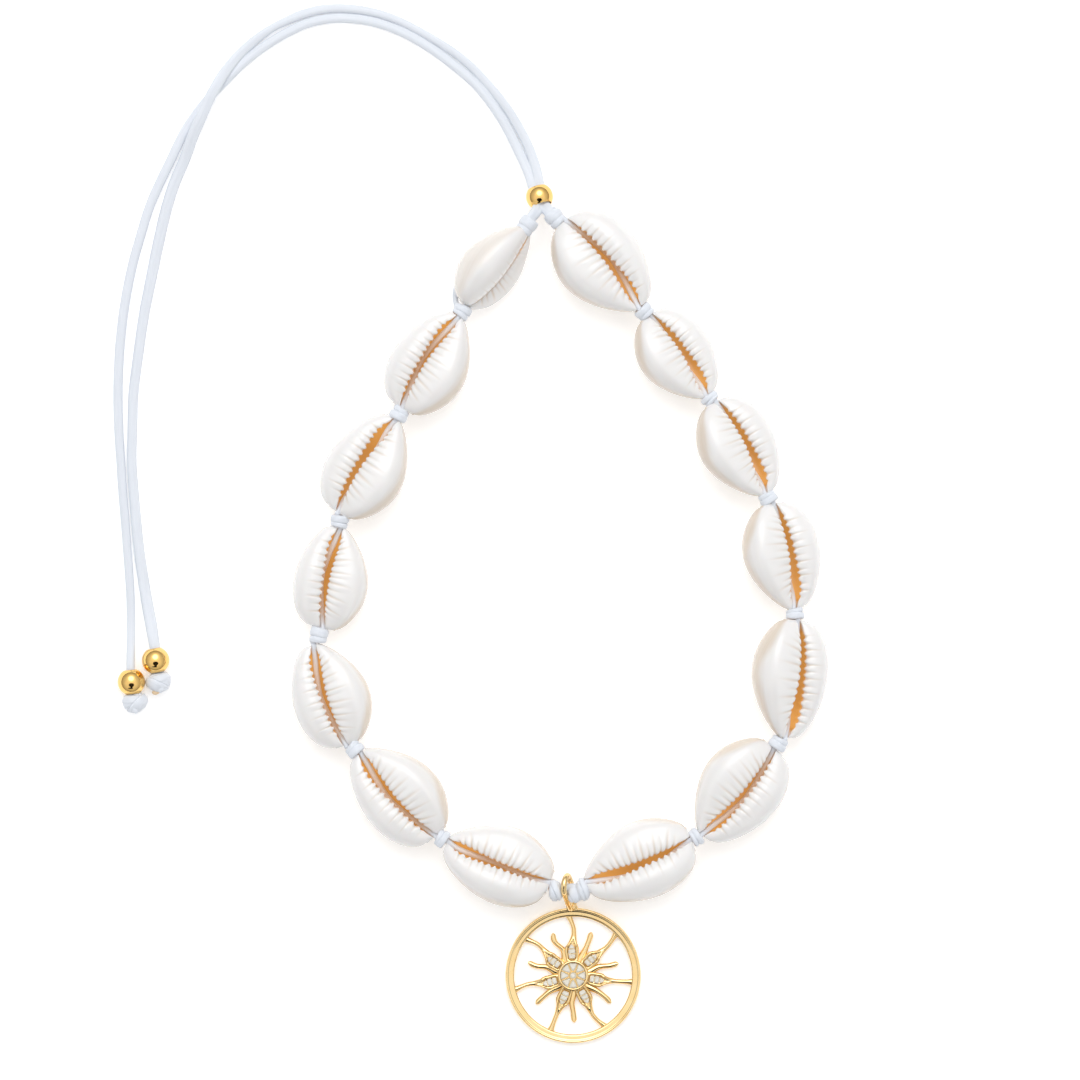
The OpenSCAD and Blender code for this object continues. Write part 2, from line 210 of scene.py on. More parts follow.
def add(tree, kind, settings=None, links=None):
    """Adds a shader node. Settings name its options or sockets, and links name sockets and what feeds
    them."""
    node = tree.nodes.new("ShaderNode" + kind)
    for name, value in (settings or {}).items():
        if isinstance(name, str) and hasattr(node, name):
            setattr(node, name, value)
        else:
            node.inputs[name].default_value = value
    for name, source in (links or {}).items():
        tree.links.new(source, node.inputs[name])
    return node


def new_finish(name, settings):
    """A material with its main shader's plain settings."""
    material = bpy.data.materials.new(name)
    material.use_nodes = True
    shader = material.node_tree.nodes["Principled BSDF"]
    for socket, value in settings.items():
        shader.inputs[socket].default_value = value
    return material, material.node_tree, shader


# A Mix node has sockets of the same names for numbers and colours, so the colour ones go by position
MIX_FACTOR, MIX_A, MIX_B, MIX_RESULT = 0, 6, 7, 2
print("white in linear light:", [round(c, 3) for c in linear("#F4F4F3")])

# %% [markdown]
# The cord is waxed cotton, about a millimetre thick and soft, so that knots and bends press it flat.
# To the eye it is a matt, faintly bluish white with long fine fibres. The fibres follow the cord, so
# their pattern is drawn in the cord's own measure: millimetres along it and around it.

# %% Waxed cotton cord
FIBRE_WIDTH = 0.16  # Real fibres are ten times finer, and would not show
FIBRE_LENGTH = 5.0

waxed_cotton, tree, shader = new_finish("waxed_cotton", {
    "Roughness": 0.5, "IOR": 1.5, "Sheen Weight": 0.12, "Sheen Roughness": 0.4})
along = add(tree, "Attribute", {"attribute_name": "along"}).outputs["Fac"]
around = add(tree, "Attribute", {"attribute_name": "around"}).outputs["Fac"]
slow = add(tree, "Math", {"operation": "MULTIPLY", 1: 1 / FIBRE_LENGTH}, {0: along})
fast = add(tree, "Math", {"operation": "MULTIPLY", 1: 1 / FIBRE_WIDTH}, {0: around})
lie = add(tree, "CombineXYZ", {}, {"X": slow.outputs[0], "Y": fast.outputs[0]})
fibres = add(tree, "TexNoise", {"Scale": 1.0, "Detail": 3.0}, {"Vector": lie.outputs[0]})
plain = add(tree, "Mix", {"data_type": "RGBA", MIX_A: linear("#D6DCE6"), MIX_B: linear("#E8ECF2")},
            {MIX_FACTOR: fibres.outputs["Fac"]})
# Painted amber light where the cord runs inside a shell, and the real colour of the singed end of a tail,
# both in one tint
warmth = add(tree, "Attribute", {"attribute_name": "warmth"}).outputs["Fac"]
tint = add(tree, "Mix", {"data_type": "RGBA", MIX_B: linear("#E6CBA6")},
           {MIX_FACTOR: warmth, MIX_A: plain.outputs[MIX_RESULT]})
tree.links.new(tint.outputs[MIX_RESULT], shader.inputs["Base Color"])
relief = add(tree, "Bump", {"Strength": 0.25, "Distance": 0.05 * MM},
             {"Height": fibres.outputs["Fac"]})
tree.links.new(relief.outputs["Normal"], shader.inputs["Normal"])
print("fibres drawn", FIBRE_WIDTH, "mm wide")

# %% [markdown]
# Each tail is the cord taken double. Its two strands lie side by side or half over each other, so the
# section is two ovals that share one outline with a crease between them. The tails come out of the
# top knots, run down through the slide bead, lie on the surface in a long bow and end in the beads.
# They are the only free cords here, so they are drawn first.

# %% The tails' routes, in metres
left_route = [
    (-0.0048, 0.0756, 0.0066), (-0.0040, 0.0768, 0.0053), (-0.0053, 0.0812, 0.0031),
    (-0.0063, 0.0843, 0.0018), (-0.0085, 0.0891, 0.0008), (-0.0113, 0.0944, 0.0008),
    (-0.0157, 0.1003, 0.0008), (-0.0214, 0.1052, 0.0008), (-0.0257, 0.1082, 0.0008),
    (-0.0303, 0.1107, 0.0008), (-0.0355, 0.1125, 0.0008), (-0.0408, 0.1132, 0.0008),
    (-0.0451, 0.1129, 0.0008), (-0.0493, 0.1117, 0.0008), (-0.0550, 0.1086, 0.0008),
    (-0.0598, 0.1050, 0.0008), (-0.0635, 0.1014, 0.0008), (-0.0670, 0.0976, 0.0008),
    (-0.0698, 0.0939, 0.0008), (-0.0717, 0.0908, 0.0008), (-0.0738, 0.0864, 0.0008),
    (-0.0761, 0.0816, 0.0008), (-0.0780, 0.0771, 0.0008), (-0.0797, 0.0715, 0.0008),
    (-0.0812, 0.0660, 0.0008), (-0.0826, 0.0588, 0.0008), (-0.0835, 0.0510, 0.0008),
    (-0.0839, 0.0430, 0.0008), (-0.0838, 0.0355, 0.0008), (-0.0834, 0.0287, 0.0008),
    (-0.0831, 0.0237, 0.0008), (-0.0827, 0.0186, 0.0008), (-0.0822, 0.0120, 0.0008),
    (-0.0817, 0.0050, 0.0008), (-0.0815, -0.0010, 0.0008), (-0.0815, -0.0060, 0.0016),
    (-0.0815, -0.0103, 0.0026), (-0.0812, -0.0152, 0.0026)]
right_route = [
    (-0.0010, 0.0764, 0.0066), (-0.0023, 0.0772, 0.0053), (-0.0036, 0.0817, 0.0031),
    (-0.0044, 0.0852, 0.0018), (-0.0062, 0.0900, 0.0008), (-0.0096, 0.0959, 0.0008),
    (-0.0135, 0.1008, 0.0008), (-0.0181, 0.1054, 0.0008), (-0.0237, 0.1092, 0.0008),
    (-0.0303, 0.1127, 0.0008), (-0.0355, 0.1144, 0.0008), (-0.0408, 0.1151, 0.0008),
    (-0.0451, 0.1149, 0.0008), (-0.0493, 0.1138, 0.0008), (-0.0550, 0.1113, 0.0008),
    (-0.0598, 0.1078, 0.0009), (-0.0636, 0.1036, 0.0016), (-0.0659, 0.0998, 0.0025),
    (-0.0674, 0.0969, 0.0025), (-0.0687, 0.0940, 0.0024), (-0.0700, 0.0911, 0.0019),
    (-0.0716, 0.0868, 0.0010), (-0.0737, 0.0818, 0.0008), (-0.0752, 0.0770, 0.0008),
    (-0.0766, 0.0710, 0.0008), (-0.0779, 0.0645, 0.0008), (-0.0793, 0.0572, 0.0008),
    (-0.0804, 0.0495, 0.0008), (-0.0813, 0.0420, 0.0008), (-0.0815, 0.0350, 0.0008),
    (-0.0816, 0.0288, 0.0008), (-0.0813, 0.0237, 0.0008), (-0.0809, 0.0186, 0.0008),
    (-0.0803, 0.0120, 0.0008), (-0.0793, 0.0048, 0.0008), (-0.0784, -0.0005, 0.0014),
    (-0.0773, -0.0061, 0.0026), (-0.0763, -0.0113, 0.0026)]
print("route points:", len(left_route), "and", len(right_route))

# %% The doubled cord's section
STRAND_HALF_WIDTH = 0.76
STRAND_HALF_HEIGHT = 0.56
SECOND_DROP = 0.16  # The second strand lies this much lower
CORD_AROUND = 28


def doubled_section(apart):
    """Two ovals in one outline, seen from the middle of the first. apart has a value for each ring."""
    turn = full_turn(CORD_AROUND)[None, :]
    apart = np.atleast_1d(apart)[:, None]
    a, b = STRAND_HALF_WIDTH, STRAND_HALF_HEIGHT
    first = 1 / np.hypot(np.cos(turn) / a, np.sin(turn) / b)
    middle_x, middle_y = apart, -SECOND_DROP * np.abs(apart) / a
    across = np.cos(turn)**2 / a**2 + np.sin(turn)**2 / b**2
    lean = np.cos(turn) * middle_x / a**2 + np.sin(turn) * middle_y / b**2
    inside = 1 - (middle_x / a)**2 - (middle_y / b)**2
    second = (lean + np.sqrt(np.maximum(lean**2 + across * inside, 0))) / across
    out = np.maximum(first, np.where(lean**2 + across * inside > 0, second, 0))
    return np.stack([out * np.cos(turn), out * np.sin(turn)], axis=2)


def cord_marks(line, around, girth):
    """Where each point of a cord's rings is along and around it, in millimetres."""
    along, across = np.meshgrid(distances(line), np.linspace(0, girth, around, endpoint=False), indexing="ij")
    return {"along": along.ravel(), "around": across.ravel()}


print("two strands in one outline of", CORD_AROUND, "points")

# %% The two tails
TAIL_STEP = 0.5
TAIL_GIRTH = 4.2
TWIST_LENGTH = 5.0  # The strands cross once between the knot and the slide bead

# How far the second strand lies from the first, sideways, at millimetres along each tail
left_spread = [(0, 0.5), (8, 0.4), (14, 0.42), (60, 0.36), (90, 0.3), (140, 0.34), (175, 0.16),
               (200, 0.12)]
right_spread = [(0, 0.5), (8, -0.45), (20, -0.35), (70, 0.3), (82, -0.42), (100, -0.68), (124, -0.7),
                (140, -0.5), (165, -0.36), (182, -0.55), (197, -0.8), (205, -0.4)]


def tail(name, route, spread, side):
    """One tail as a piece, and its line in millimetres. Side is 1 or -1: the way that it twists."""
    line = smooth_line(np.array(route) / MM, TAIL_STEP)
    far = np.linspace(0, length_of(line), len(line))
    section = doubled_section(np.interp(far, *zip(*spread)))
    section = spun(section, side * np.pi * np.clip(1 - far / TWIST_LENGTH, 0, 1)[:, None])
    part = tube(line, section, marks=cord_marks(line, CORD_AROUND, TAIL_GIRTH))
    piece = make_piece(name, [part], waxed_cotton, ["tail_" + name.split("_")[1]])
    print(name, "is", round(length_of(line), 1), "mm long")
    return piece, line


left_tail, left_line = tail("cord_left_tail", left_route, left_spread, 1)
right_tail, right_line = tail("cord_right_tail", right_route, right_spread, -1)

# %% [markdown]
# The shell is the money cowrie, lying mouth up. It is polished by nature: a hard glaze of aragonite
# over a chalky body. The eye sees milk-white lips with soft broad reflections, a warmer painted shade
# in the grooves between the teeth, cream on the back and warm amber in the hollow. The cream reaches
# a little round the sides, so that it also paints the shade along the outline, and the hollow and the
# lips' walls in the mouth have a painted amber glow. Where each tint lies is known when the shell is
# shaped, so the shape carries it as marks.

# %% Cowrie glaze
GROWTH_LINE = 0.35  # Millimetres between the faint growth lines of the back
CLOUD = 5.5  # Millimetres across a patch of slightly different tone
HOLLOW_PAINTED_GLOW = 0.55  # Strength of the hollow's painted glow, which stands in for the light on the back that comes through the wall

cowrie_glaze, tree, shader = new_finish("cowrie_glaze", {
    "Roughness": 0.22, "IOR": 1.53, "Coat Weight": 0.3, "Coat Roughness": 0.08,
    "Subsurface Weight": 0.1, "Subsurface Radius": (1.0, 0.7, 0.5), "Subsurface Scale": 1.0 * MM})
place = add(tree, "TexCoord").outputs["Object"]
cloud = add(tree, "TexNoise", {"Scale": 1 / (CLOUD * MM), "Detail": 3.0}, {"Vector": place}).outputs["Fac"]
mark = {name: add(tree, "Attribute", {"attribute_name": name}).outputs["Fac"]
        for name in ("groove", "back", "growth", "hollow")}
lines = add(tree, "TexNoise", {"noise_dimensions": "1D", "Scale": 1 / GROWTH_LINE, "Detail": 2.0},
            {"W": mark["growth"]}).outputs["Fac"]
tint = {}
# Tints: white lips, the back's cream, which also paints the shade along the outline, the hollow's amber and
# the colour of the hollow's painted glow
for name, deep, pale, pattern in (
        ("lips", "#E7E5E4", "#EFEEED", cloud), ("back", "#D9CAB9", "#E3D9CD", lines),
        ("hollow", "#A87B50", "#B68B5C", cloud), ("painted_glow_tint", "#BC8A42", "#CFA05A", cloud)):
    tint[name] = add(tree, "Mix", {"data_type": "RGBA", MIX_A: linear(deep), MIX_B: linear(pale)},
                     {MIX_FACTOR: pattern}).outputs[MIX_RESULT]
# Painted shade: the grooves between the teeth are tinted darker and warmer, as shade falls in them
glaze = add(tree, "Mix", {"data_type": "RGBA", MIX_B: linear("#DCCFC1")},
            {MIX_FACTOR: mark["groove"], MIX_A: tint["lips"]}).outputs[MIX_RESULT]
for name in ("back", "hollow"):
    glaze = add(tree, "Mix", {"data_type": "RGBA"},
                {MIX_FACTOR: mark[name], MIX_A: glaze, MIX_B: tint[name]}).outputs[MIX_RESULT]
tree.links.new(glaze, shader.inputs["Base Color"])
# Painted glow: the hollow and the lips' walls in the mouth give amber light of their own, though they are no
# lamp
tree.links.new(tint["painted_glow_tint"], shader.inputs["Emission Color"])
painted_glow_strength = add(tree, "Math", {"operation": "MULTIPLY", 1: HOLLOW_PAINTED_GLOW}, {0: mark["hollow"]})
tree.links.new(painted_glow_strength.outputs[0], shader.inputs["Emission Strength"])
print("glaze with growth lines", GROWTH_LINE, "mm apart")

# %% [markdown]
# A cowrie is a spiral shell whose last turn has closed over all the others. What is left open is the
# long mouth, with a toothed lip on each side. Each section across it is a thick letter C. The section
# is worked out from how far the shell has swelled at that place, so one function draws every shell,
# and a table gives each its place, size and attitude.

# %% The shells' table
LEFT_SHELLS = [
    # x, y, length, wider, heading, roll, lean
    (-12.1, 65.6, 18.0, 1.00, 50, -62, -1),
    (-24.4, 47.6, 20.0, 1.04, 58, 10, 1),
    (-36.4, 28.0, 20.3, 1.05, 58, 12, -1),
    (-43.2, 6.8, 19.1, 1.03, 80, -2, 1),
    (-43.5, -15.4, 19.6, 1.05, 108, 4, 1),
    (-30.6, -34.1, 20.9, 1.02, 132, 5, 1),
    (-11.6, -47.1, 20.6, 1.03, 158, -17, -1)]
RIGHT_SHELLS = [
    (8.1, 66.3, 21.2, 1.07, 310, 3, 1),
    (22.4, 48.9, 18.3, 1.09, 305, 15, -1),
    (34.2, 31.4, 19.4, 1.08, 298, 20, -1),
    (42.4, 10.9, 19.9, 1.05, 281, 18, -1),
    (43.8, -12.3, 21.8, 0.95, 264, 25, -1),
    (33.8, -33.6, 20.9, 1.05, 230, 4, 1),
    (15.0, -46.9, 21.1, 0.99, 202, -14, 1)]
X, Y, LENGTH, WIDER, HEADING, ROLL, LEAN = range(7)
SHELL_WIDTH, SHELL_HEIGHT = 0.72, 0.52  # Of a shell as long as 1
SHELL_WALL, MOUTH_HALF = 1.3, 0.65  # In millimetres
MOUTH_BOW = 0.05  # The mouth's middle bows this far toward the outer lip, as a share of the length
DOME_SHARE = 0.67  # This share of the height is under the widest place, where the back is
FULLER = 1.23  # Over 1, the fullest place moves toward the back end
OUTER_NOTCH, INNER_NOTCH = 0.25, 0.10  # The mouth is this much wider between the teeth, each side
print(len(LEFT_SHELLS) + len(RIGHT_SHELLS), "shells")

# %% How a shell swells from end to end
STATIONS = 160


def mix(a, b, share):
    """From a to b, by a share."""
    return a + (b - a) * share


def ramp(value, low, high):
    """0 below low, 1 above high, smooth between."""
    share = np.clip((value - low) / (high - low), 0, 1)
    return share * share * (3 - 2 * share)


def grown(at_end, full, part, bluntness):
    """A measure that swells from its size at both ends. A low bluntness fills it out near the ends."""
    swell = np.sin(np.pi * part**FULLER).clip(0)
    return at_end + (full - at_end) * swell**bluntness


def stations(count=STATIONS):
    """Places along a shell from its front end, closer together near both ends."""
    even = np.linspace(0, 1, count)
    return mix(even, (1 - np.cos(np.pi * even)) / 2, 0.5)


print("fullest at", round(0.5 ** (1 / FULLER), 2), "of the length from the front")

# %% Sections across a shell
# How wide the mouth is at places along the shell, as a share of twice MOUTH_HALF
MOUTH_FLARE = [(0, 0.85), (0.05, 0.95), (0.1, 1.5), (0.2, 1.55), (0.35, 1.15), (0.5, 0.82), (0.75, 0.75),
               (0.85, 0.75), (1, 0.8)]


def section_controls(part, size, width, mouth=1.0):
    """Control points of the outside and of the hollow, from the outer lip round the back to the inner
    lip, for every station at once and at a length of 1. A mouth under 1 is a narrower one."""
    full = np.sin(np.pi * part**FULLER).clip(0)
    out = grown(0.11, width / 2, part, 0.47)
    far = grown(mix(0.06, 0.13, part), width / 2, part, 0.64)
    low = -grown(0.065, DOME_SHARE * SHELL_HEIGHT, part, 0.6)
    top = grown(0.045, (1 - DOME_SHARE) * SHELL_HEIGHT, part, 0.6)
    wall = mix(0.022, SHELL_WALL / size, full)
    middle = (MOUTH_BOW - 0.09 * (1 - mouth)) * np.sin(np.pi * part).clip(0)**0.7
    gap = mouth * MOUTH_HALF / size * np.interp(part, *zip(*MOUTH_FLARE))
    edge_top = top - 0.04 * np.sqrt(full)
    edge_low = edge_top - 0.025 - 0.035 * np.sqrt(full)
    tuck = 0.012 * full
    floor = (low + wall) * mix(1, 0.85, full)

    outside, hollow = [], []
    for side, reach, notch in ((1, out, OUTER_NOTCH), (-1, far, INNER_NOTCH)):
        edge = side * middle + gap + mouth * notch / size * toothed(part)
        shelf = reach - wall
        outside.append([
            (edge + tuck, edge_low), (edge + 0.2 * tuck, mix(edge_low, edge_top, 0.45)),
            (edge + 0.01 * full, mix(edge_low, edge_top, 0.95)),
            (mix(edge, reach, 0.14), mix(edge_top, top, 0.62)),
            (mix(edge, reach, 0.36), top), (mix(edge, reach, 0.60), 0.93 * top),
            (mix(edge, reach, 0.80), 0.70 * top), (mix(edge, reach, 0.95), 0.34 * top),
            (reach, 0.08 * low), (0.95 * reach, 0.33 * low), (0.80 * reach, 0.62 * low),
            (0.52 * reach, 0.87 * low), (0.25 * reach, 0.97 * low)])
        hollow.append([
            (edge + tuck + 0.006, edge_low - 0.004), (mix(edge, shelf, 0.2) + 0.004, edge_low - 0.002),
            (mix(edge, shelf, 0.35), edge_low), (mix(edge, shelf, 0.5), edge_low),
            (mix(edge, shelf, 0.65), mix(edge_low, 0.1 * top, 0.2)),
            (mix(edge, shelf, 0.78), mix(edge_low, 0.1 * top, 0.4)),
            (mix(edge, shelf, 0.9), mix(edge_low, 0.1 * top, 0.6)),
            (mix(edge, shelf, 0.97), mix(edge_low, 0.1 * top, 0.8)), (shelf, 0.1 * top),
            (0.93 * shelf, 0.35 * floor), (0.78 * shelf, 0.66 * floor),
            (0.5 * shelf, 0.9 * floor), (0.25 * shelf, 0.98 * floor)])

    def whole(two_sides, bottom):
        first = [np.stack(np.broadcast_arrays(x, z), -1) for x, z in two_sides[0]]
        last = [np.stack(np.broadcast_arrays(-x, z), -1) for x, z in two_sides[1]]
        return np.stack(first + [np.stack([0 * bottom, bottom], -1)] + last[::-1], axis=1)

    return whole(outside, low), whole(hollow, floor)


print("mouth of", 2 * MOUTH_HALF, "mm, narrower toward the back end")

# %% Smooth sections
CONTROLS = 27
LIP_CONTROLS = 6  # Controls from the lip's underside out over most of the lip


def spline_weights(places, count):
    """How much each of count control points gives to a smooth curve at each place along them."""
    weights = np.zeros((len(places), count))
    for row, place in enumerate(places):
        first = min(int(place), count - 2)
        t = place - first
        blend = [(-t + 2 * t**2 - t**3) / 2, (2 - 5 * t**2 + 3 * t**3) / 2,
                 (t + 4 * t**2 - 3 * t**3) / 2, (t**3 - t**2) / 2]
        for offset, value in zip((-1, 0, 1, 2), blend):
            weights[row, min(max(first + offset, 0), count - 1)] += value
    return weights


lip_places = np.linspace(0, LIP_CONTROLS, 31)
back_places = np.linspace(LIP_CONTROLS, CONTROLS - 1 - LIP_CONTROLS, 29)
outer_places = np.concatenate([lip_places, back_places[1:-1], CONTROLS - 1 - lip_places[::-1]])
OUTER_WEIGHTS = spline_weights(outer_places, CONTROLS)
hollow_places = np.linspace(0, CONTROLS - 1, 27)
HOLLOW_WEIGHTS = spline_weights(hollow_places, CONTROLS)
print("section points:", len(outer_places), "outside and", len(hollow_places), "in the hollow")

# %% [markdown]
# The teeth are ridges of glaze that run from the mouth's edge out over the lips. The outer lip has a
# dozen short round ones, and the inner lip more, finer and longer, which spread like a fan. They are
# raised from the smooth section along its own normal, so at the very edge they stand into the mouth
# and give it its scalloped outline. No two shells have the same spacing, so each gets its own seed.

# %% Teeth
OUTER_TEETH, INNER_TEETH = 16.0, 18.5  # On a whole shell length, though the teeth stop short of its ends
OUTER_TOOTH, INNER_TOOTH = 0.2, 0.2  # Height in millimetres
OUTER_BITE, INNER_BITE = 0.42, 0.28  # How far the teeth stand into the mouth
OUTER_OPEN, INNER_OPEN = 0.64, 0.5  # How much of the edge the rounded bites between teeth take


def toothed(part):
    """1 along the toothed stretch of the lips, fading to 0 toward both ends."""
    return ramp(part, 0.05, 0.13) * (1 - ramp(part, 0.84, 0.93))


def teeth(part, places, chance, inner):
    """Height of the teeth, and how deep in a groove each point is. Places count the section's controls
    from the lip's underside, and the mouth's edge is before the third one."""
    count = (INNER_TEETH if inner else OUTER_TEETH) + chance.uniform(-1, 1)
    fan = 0.34 if inner else 0.10
    wander = sum(chance.uniform(-0.07, 0.07) * np.sin(2 * np.pi * part * k + chance.uniform(0, 6))
                 for k in (1, 2, 3, 5, 8))
    places = places[None, :]
    away = np.clip(places / LIP_CONTROLS, 0, 1)
    phase = count * (part[:, None] - fan * (part[:, None] - 0.45) * away) + wander[:, None]
    from_tooth = 2 * np.abs(phase - np.round(phase))
    strong = 1 + 0.3 * np.sin(1.7 * phase + chance.uniform(0, 6))
    into_bite = (1 - from_tooth) / (INNER_OPEN if inner else OUTER_OPEN)
    scallop = 1 - np.sqrt(np.clip(1 - into_bite**2, 0, 1))
    at_edge = 1 - ramp(places, 1.6, 2.7)
    ridge = mix(1 - ramp(from_tooth, 0.25 if inner else 0.4, 1.15), scallop, at_edge)
    reach = (5.0 if inner else 4.9) + 0.5 * np.sin(3.1 * phase)
    fade = 1 - ramp(places, 1.8, reach)
    rise, bite = (INNER_TOOTH, INNER_BITE) if inner else (OUTER_TOOTH, OUTER_BITE)
    height = mix(rise * strong * fade, bite, at_edge) * ridge
    # How deep in a groove a point lies, which the glaze paints as shade
    depth = ramp(from_tooth, 0.45 if inner else 0.6, 1.0) * (1 - ramp(places, reach - 3.2, reach))
    shown = toothed(part)[:, None]
    return height * shown, depth * shown * ramp(places, 1.0, 2.2)


print("teeth to a whole length:", OUTER_TEETH, "on the outer lip,", INNER_TEETH, "on the inner one")

# %% The crest of the inner side
SIDE_CREST, SIDE_CREASE = 0.28, 0.10  # Height and depth in millimetres


def inner_crest(part, places):
    """The soft ridge along the inner side and the fine crease beside it, in millimetres."""
    along = (ramp(part, 0.12, 0.45) * (1 - ramp(part, 0.85, 0.98)))[:, None]
    crest = SIDE_CREST * np.exp(-((places - 5.5) / 0.9) ** 2)
    crease = SIDE_CREASE * np.exp(-((places - 6.7 + 0.8 * (part[:, None] - 0.6)) / 0.2) ** 2)
    return along * (crest - crease * ramp(part, 0.4, 0.7)[:, None])


print("crest along the inner side:", SIDE_CREST, "mm")

# %% Where a shell lies
def placed(shell, points):
    """Points of a shell, as along, to the outer lip and up, turned to where it lies."""
    roll, heading = math.radians(shell[ROLL]), math.radians(shell[HEADING])
    side = points[..., 1] * math.cos(roll) + points[..., 2] * math.sin(roll)
    up = points[..., 2] * math.cos(roll) - points[..., 1] * math.sin(roll)
    return spun(np.stack([points[..., 0], side, up], axis=-1), heading) + [shell[X], shell[Y], 0]


print("the first left shell is rolled by", LEFT_SHELLS[0][ROLL], "degrees")

# %% A shell's sections and their marks
CLOSED_MOUTH = 0.3  # The first left shell lies on its side, and its lips nearly hide the mouth
CREAM_AND_EDGE_SHADE_START = 6.9  # The cream of the back, which also paints the shade along the outline, begins at about this control of the section


def cowrie_form(shell, seed):
    """Sections of a shell in its own measure, outside and hollow, and the marks of the outside."""
    chance = np.random.default_rng(seed)
    size, width = shell[LENGTH], SHELL_WIDTH * shell[WIDER]
    mouth = CLOSED_MOUTH if abs(shell[ROLL]) > 45 else 1.0
    part = stations()
    outside, hollow = section_controls(part, size, width, mouth)
    outside = np.einsum("km,smc->skc", OUTER_WEIGHTS, outside) * size
    hollow = np.einsum("km,smc->skc", HOLLOW_WEIGHTS, hollow) * size

    run = np.gradient(outside, axis=1)
    outward = unit(np.stack([-run[..., 1], run[..., 0]], axis=-1) + 1e-9)
    mirrored = CONTROLS - 1 - outer_places
    rise_out, groove_out = teeth(part, outer_places, chance, False)
    rise_in, groove_in = teeth(part, mirrored, chance, True)
    on_outer = (outer_places < LIP_CONTROLS)[None, :]
    on_inner = (mirrored < LIP_CONTROLS)[None, :]
    rise = mouth * (rise_out * on_outer + rise_in * on_inner) + inner_crest(part, mirrored)
    groove_in = groove_in * (ramp(part, 0.4, 0.6)[:, None] if mouth < 1 else 1)
    outside = outside + outward * rise[..., None]

    groove = np.where(on_outer, groove_out, 0) + np.where(on_inner, groove_in, 0)
    hidden = np.minimum(outer_places, mirrored)[None, :]
    inner_side = (mirrored < outer_places)[None, :]
    uneven = 0.2 * np.sin(5 * part + chance.uniform(0, 6)) + 0.1 * np.sin(13 * part + chance.uniform(0, 6))
    # Where the back's cream starts, nearer the mouth on the inner side; round the sides it also paints the
    # shade along the outline
    start = CREAM_AND_EDGE_SHADE_START - uneven[:, None] - inner_side * (0.5 + 0.9 * ramp(part, 0.5, 0.9)[:, None])
    back = ramp(hidden, start, start + 1.1) * (0.45 if mouth < 1 else 1)
    # Painted shade and glow: the lips' walls just inside the mouth get the hollow's amber and its painted
    # glow
    deep = (1 - ramp(hidden, 0.9, 1.9)) * np.ones_like(groove)
    growth = (hidden * 1.2 + 3 * part[:, None]) * np.ones_like(groove)
    return part, outside, hollow, groove, back, deep, growth


print("points in one ring of a shell:", len(outer_places) + len(hollow_places))

# %% One shell
END_ROUNDING = np.radians([30, 60, 85])  # Each rounded end has a ring at these turns
END_REACH = 0.012  # How far a rounded end stands out, as a share of the length
PAINTED_FRONT_GLOW = 0.5  # The hollow's painted glow is this much stronger at the front than at the back, where the shell is thick


def cowrie(name, shell, seed):
    """A whole shell: rings that join its outside and its hollow at the lips, and a rounded rim at each
    end, laid down on the surface."""
    part, outside, hollow, groove, back, deep, growth = cowrie_form(shell, seed)
    size = shell[LENGTH]
    along = (0.5 - part) * size
    partner = np.stack([np.stack([np.interp(outer_places, hollow_places, row[:, c]) for c in (0, 1)], -1)
                        for row in hollow[[0, -1]]])
    rings, marks = [], []

    def ring(x, outer, inner, i, shade):
        loop = np.vstack([outer, inner[::-1]])
        rings.append(np.column_stack([np.full(len(loop), x), loop]))
        # The hollow's amber and its painted glow, on the hollow and on the lips' walls in the mouth
        amber_and_painted_glow = np.concatenate([deep[i], np.ones(len(inner))])
        marks.append({"groove": np.concatenate([groove[i], np.zeros(len(inner))]),
                      "back": np.concatenate([back[i], np.zeros(len(inner))]),
                      "growth": np.concatenate([growth[i], np.zeros(len(inner))]),
                      "hollow": amber_and_painted_glow * shade})

    def rim(which, i, sign, angles):
        halfway = (outside[i] + partner[which]) / 2
        inner_place = np.stack([np.interp(hollow_places, outer_places, halfway[:, c]) for c in (0, 1)], -1)
        for angle in angles:
            outer = mix(halfway, outside[i], math.cos(angle))
            inner = mix(inner_place, hollow[i], math.cos(angle))
            ring(along[i] + sign * END_REACH * size * math.sin(angle), outer, inner, i, 0.3 * math.cos(angle))

    rim(0, 0, 1, END_ROUNDING[::-1])
    # The hollow's amber and its painted glow fade out toward both ends, and the glow is stronger at the front
    inside = ramp(part, 0.02, 0.09) * (1 - ramp(part, 0.89, 0.96))
    painted_front_glow = (1 + PAINTED_FRONT_GLOW * (1 - ramp(part, 0.1, 0.45))) * inside
    for i in range(len(part)):
        ring(along[i], outside[i], hollow[i], i, painted_front_glow[i])
    rim(1, len(part) - 1, -1, END_ROUNDING)

    points = np.array(rings)
    placed_points = placed(shell, points)
    placed_points[..., 2] -= placed_points[..., 2].min()
    around = points.shape[1]
    faces = ring_faces(len(points), around, capped=False)
    n_out, n_in = len(outer_places), len(hollow_places)
    match = np.round(np.interp(outer_places, hollow_places, np.arange(n_in))).astype(int)
    for ring_index in (0, len(points) - 1):
        start = ring_index * around
        for k in range(n_out - 1):
            corners = [k, k + 1, around - 1 - match[k + 1], around - 1 - match[k]]
            corners = list(dict.fromkeys(corners))
            if len(corners) > 2:
                faces.append(tuple(start + c for c in corners))
    joined = {mark: np.concatenate([m[mark] for m in marks]) for mark in marks[0]}
    return make_piece(name, [(placed_points.reshape(-1, 3), faces, joined)], cowrie_glaze,
                      [name.replace("cowrie", "shell")])


print("each cowrie replaces the packed shell of its number")

# %% All fourteen shells
SIDES = {"left": LEFT_SHELLS, "right": RIGHT_SHELLS}
for side, shells in SIDES.items():
    for number, shell in enumerate(shells, 1):
        cowrie(f"cowrie_{side}_{number}", shell, seed=number + 10 * len(side))
print("triangles in a shell:", triangles_made["cowrie_left_1"])

